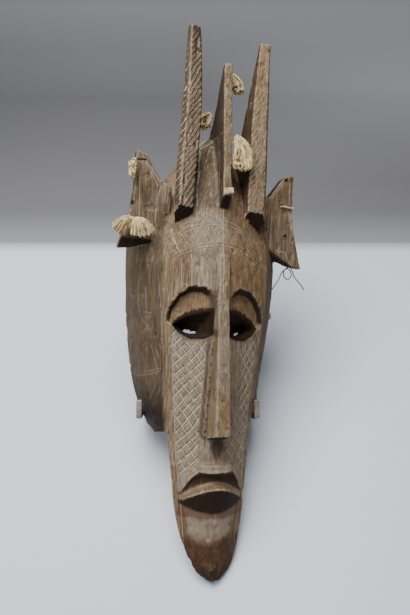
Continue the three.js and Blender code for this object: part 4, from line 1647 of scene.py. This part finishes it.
TASSELS = (
    Tassel("tassel_ear_upper", (-95.5, 268, 15.8), (5, 13, 6), Hang.LOOPS, 20, 11, radius=1.0),
    Tassel("tassel_ear_lower", (-90, 209, 19.5), (23, 12, 8), Hang.FAN, 44, 12),
    Tassel("tassel_horns_left", (-15.5, 345, -18), (9, 12, 8), Hang.DROP, 26, 13, -1.0),
    Tassel("tassel_horns_right", (17.5, 386, -2), (9, 12, 8), Hang.DROP, 26, 14),
    Tassel("tassel_horn_front", (17, 296, 34), (10.5, 22, 9), Hang.DROP, 46, 15, radius=1.1),
)


# Metal


@dataclass(frozen=True)
class MetalFinish:
    """Dull metal with fine brushing and dark patches."""

    name: str
    light: tuple
    dark: tuple
    roughness: float
    brush: tuple

    def material(self) -> Material:
        """Builds the metal material.

        Returns:
            The material.
        """
        s = ShaderTree(self.name)
        place = s.object_vector()
        lines = s.noise(place, self.brush, 3.0, 0.6)
        patch = s.noise(place, (90.0, 90.0, 90.0), 4.0, 0.6)
        base = s.mix(NodeMath.step(patch * 0.6 + lines * 0.4, 0.35, 0.6), self.dark, self.light)
        rough = lines * 0.25 + (self.roughness - 0.12)
        normal = s.bump(lines, 0.25, 0.0003)
        return s.finish({"Base Color": base, "Metallic": 0.85, "Roughness": rough, "Normal": normal})


STEEL = MetalFinish("worn_steel", linear(168, 158, 146), linear(104, 94, 82), 0.5, (500.0, 60.0, 60.0))
IRON = MetalFinish("iron_wire", linear(74, 66, 58), linear(36, 28, 22), 0.6, (800.0, 800.0, 800.0))


# Studio

# Painted light and shade on the backdrop along its depth, brighter far off: from, to, value
BACKDROP = ((0.34, 0.47, 124), (0.47, 0.8, 122), (0.8, 1.1, 129), (1.1, 1.6, 178), (1.6, 2.3, 244))


@dataclass(frozen=True)
class Lamp:
    """One square soft light that looks at the object."""

    name: str
    place: tuple
    size: float
    power: float
    colour: tuple
    aim: tuple = (0, 0, 0.1)

    def hang(self) -> None:
        """Puts the lamp in the scene."""
        data = bpy.data.lights.new(self.name, "AREA")
        data.shape = "SQUARE"
        data.size = self.size
        data.energy = self.power
        data.color = self.colour
        lamp = show(self.name, data)
        lamp.location = self.place
        away = Vector(self.place) - Vector(self.aim)
        lamp.rotation_euler = away.to_track_quat("Z", "Y").to_euler()


@dataclass(frozen=True)
class Studio:
    """Camera at the photograph's place, floor, backdrop and soft light; sizes are in metres."""

    eye: tuple = (-0.011787, -0.340505, 0.5069)
    down: float = 45.0
    sensor: float = 36.0
    focal_share: float = 450 / 615
    floor_end: float = 0.337
    floor_fade: float = 0.028
    half_width: float = 6.0
    room: float = 0.19

    def camera(self) -> None:
        """Looks down along +Y."""
        data = bpy.data.cameras.new("photo_camera")
        data.sensor_fit = "AUTO"
        data.sensor_width = self.sensor
        data.lens = self.sensor * self.focal_share
        data.clip_start, data.clip_end = 0.02, 60.0
        camera = show("photo_camera", data)
        camera.location = Vector(self.eye)
        camera.rotation_euler = Euler((math.radians(self.down), 0, 0), "XYZ")
        bpy.context.scene.camera = camera

    def _sheet(self, name: str, rows: tuple, material: Material) -> None:
        """Stages a wide sheet.

        Args:
            name: Its name.
            rows: Its side view, as (y, z) places.
            material: Its material.
        """
        corners = [(side * self.half_width, y, z) for y, z in rows for side in (-1, 1)]
        faces = [(2 * i, 2 * i + 1, 2 * i + 3, 2 * i + 2) for i in range(len(rows) - 1)]
        mesh = bpy.data.meshes.new(name)
        mesh.from_pydata(corners, [], faces)
        mesh.materials.append(material)
        show(name, mesh)

    def floor(self) -> None:
        """A pale table top that ends behind the object."""
        s = ShaderTree("pale_floor")
        place = s.object_vector()
        cloud = s.noise(place, (1.5, 1.5, 1.5), 2.0)
        colour = s.mix(cloud, linear(226, 234, 245), linear(230, 237, 247))
        far = NodeMath.step(s.axes(place)[1], self.floor_end - self.floor_fade, self.floor_end)
        colour = s.mix(far, colour, linear(168, 171, 176))
        material = s.finish({"Base Color": colour, "Roughness": 0.7, "Specular IOR Level": 0.2})
        self._sheet("floor", ((-self.half_width, 0.0), (self.floor_end, 0.0)), material)

    def backdrop(self) -> None:
        """A grey sweep beyond the table, with painted light that makes it brighter far off and to the right.
        """
        s = ShaderTree("grey_backdrop")
        side, depth, _ = s.axes(s.object_vector())
        colour = linear(158, 160, 166)
        for start, end, value in BACKDROP:
            colour = s.mix(NodeMath.step(depth, start, end), colour, linear(value, value, value + 4))
        # Painted light towards the right, far off
        right = NodeMath.step(side, 0.0, 1.2) * NodeMath.step(depth, 0.6, 1.2)
        colour = s.mix(right * 0.6, colour, linear(248, 249, 253))
        material = s.finish({"Base Color": colour, "Roughness": 0.9, "Specular IOR Level": 0.1})
        rows = ((self.floor_end + 0.002, -0.02), (self.half_width, -0.02), (self.half_width, 4.0))
        self._sheet("backdrop", rows, material)

    def light(self) -> None:
        """One large soft light overhead, a weaker one in front, and a pale room."""
        world = bpy.data.worlds.new("room")
        bpy.context.scene.world = world
        world.use_nodes = True
        room = world.node_tree.nodes["Background"]
        room.inputs[0].default_value = (0.93, 0.96, 1.0, 1.0)
        room.inputs[1].default_value = self.room
        Lamp("overhead", (-0.25, 0.15, 1.3), 0.9, 25.0, (1.0, 0.99, 0.975)).hang()
        Lamp("front_left", (-1.0, -1.2, 1.5), 1.0, 8.0, (1.0, 0.99, 0.97)).hang()


# Build


def own(piece: Object, node: str) -> None:
    """Lets a piece stand for a CAD node.

    Args:
        piece: The new object.
        node: The CAD node it replaces.
    """
    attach(piece, "root")
    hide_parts(node)
    LOG.info("%s for %s: %d triangles", piece.name, node, triangle_count(piece.data))


def repaint(node: str, material: Material) -> None:
    """Gives a CAD node its finished material.

    Args:
        node: The CAD node.
        material: The material.
    """
    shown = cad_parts[node]
    for slot in shown.material_slots:
        slot.material = material
    if not shown.material_slots:
        shown.data.materials.append(material)
    LOG.info("%s in %s", node, material.name)


def main() -> None:
    """Builds the whole scene."""
    logging.basicConfig(level=logging.INFO)
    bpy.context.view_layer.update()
    studio = Studio()
    studio.camera()
    studio.floor()
    studio.backdrop()
    studio.light()

    mask = Carver(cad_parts["mask"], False).build()
    own(mask, "mask")

    yarn = YarnFinish().material()
    tubes = TubeNodes()
    wood = surface_tree(mask.data)
    for tassel in TASSELS:
        own(tassel.build(tubes, wood, yarn), tassel.node)

    repaint("stand", STEEL.material())
    repaint("wire_tie", IRON.material())
    repaint("horn_cord", yarn)
    repaint("ear_cord", yarn)


if __name__ == "__main__":
    main()
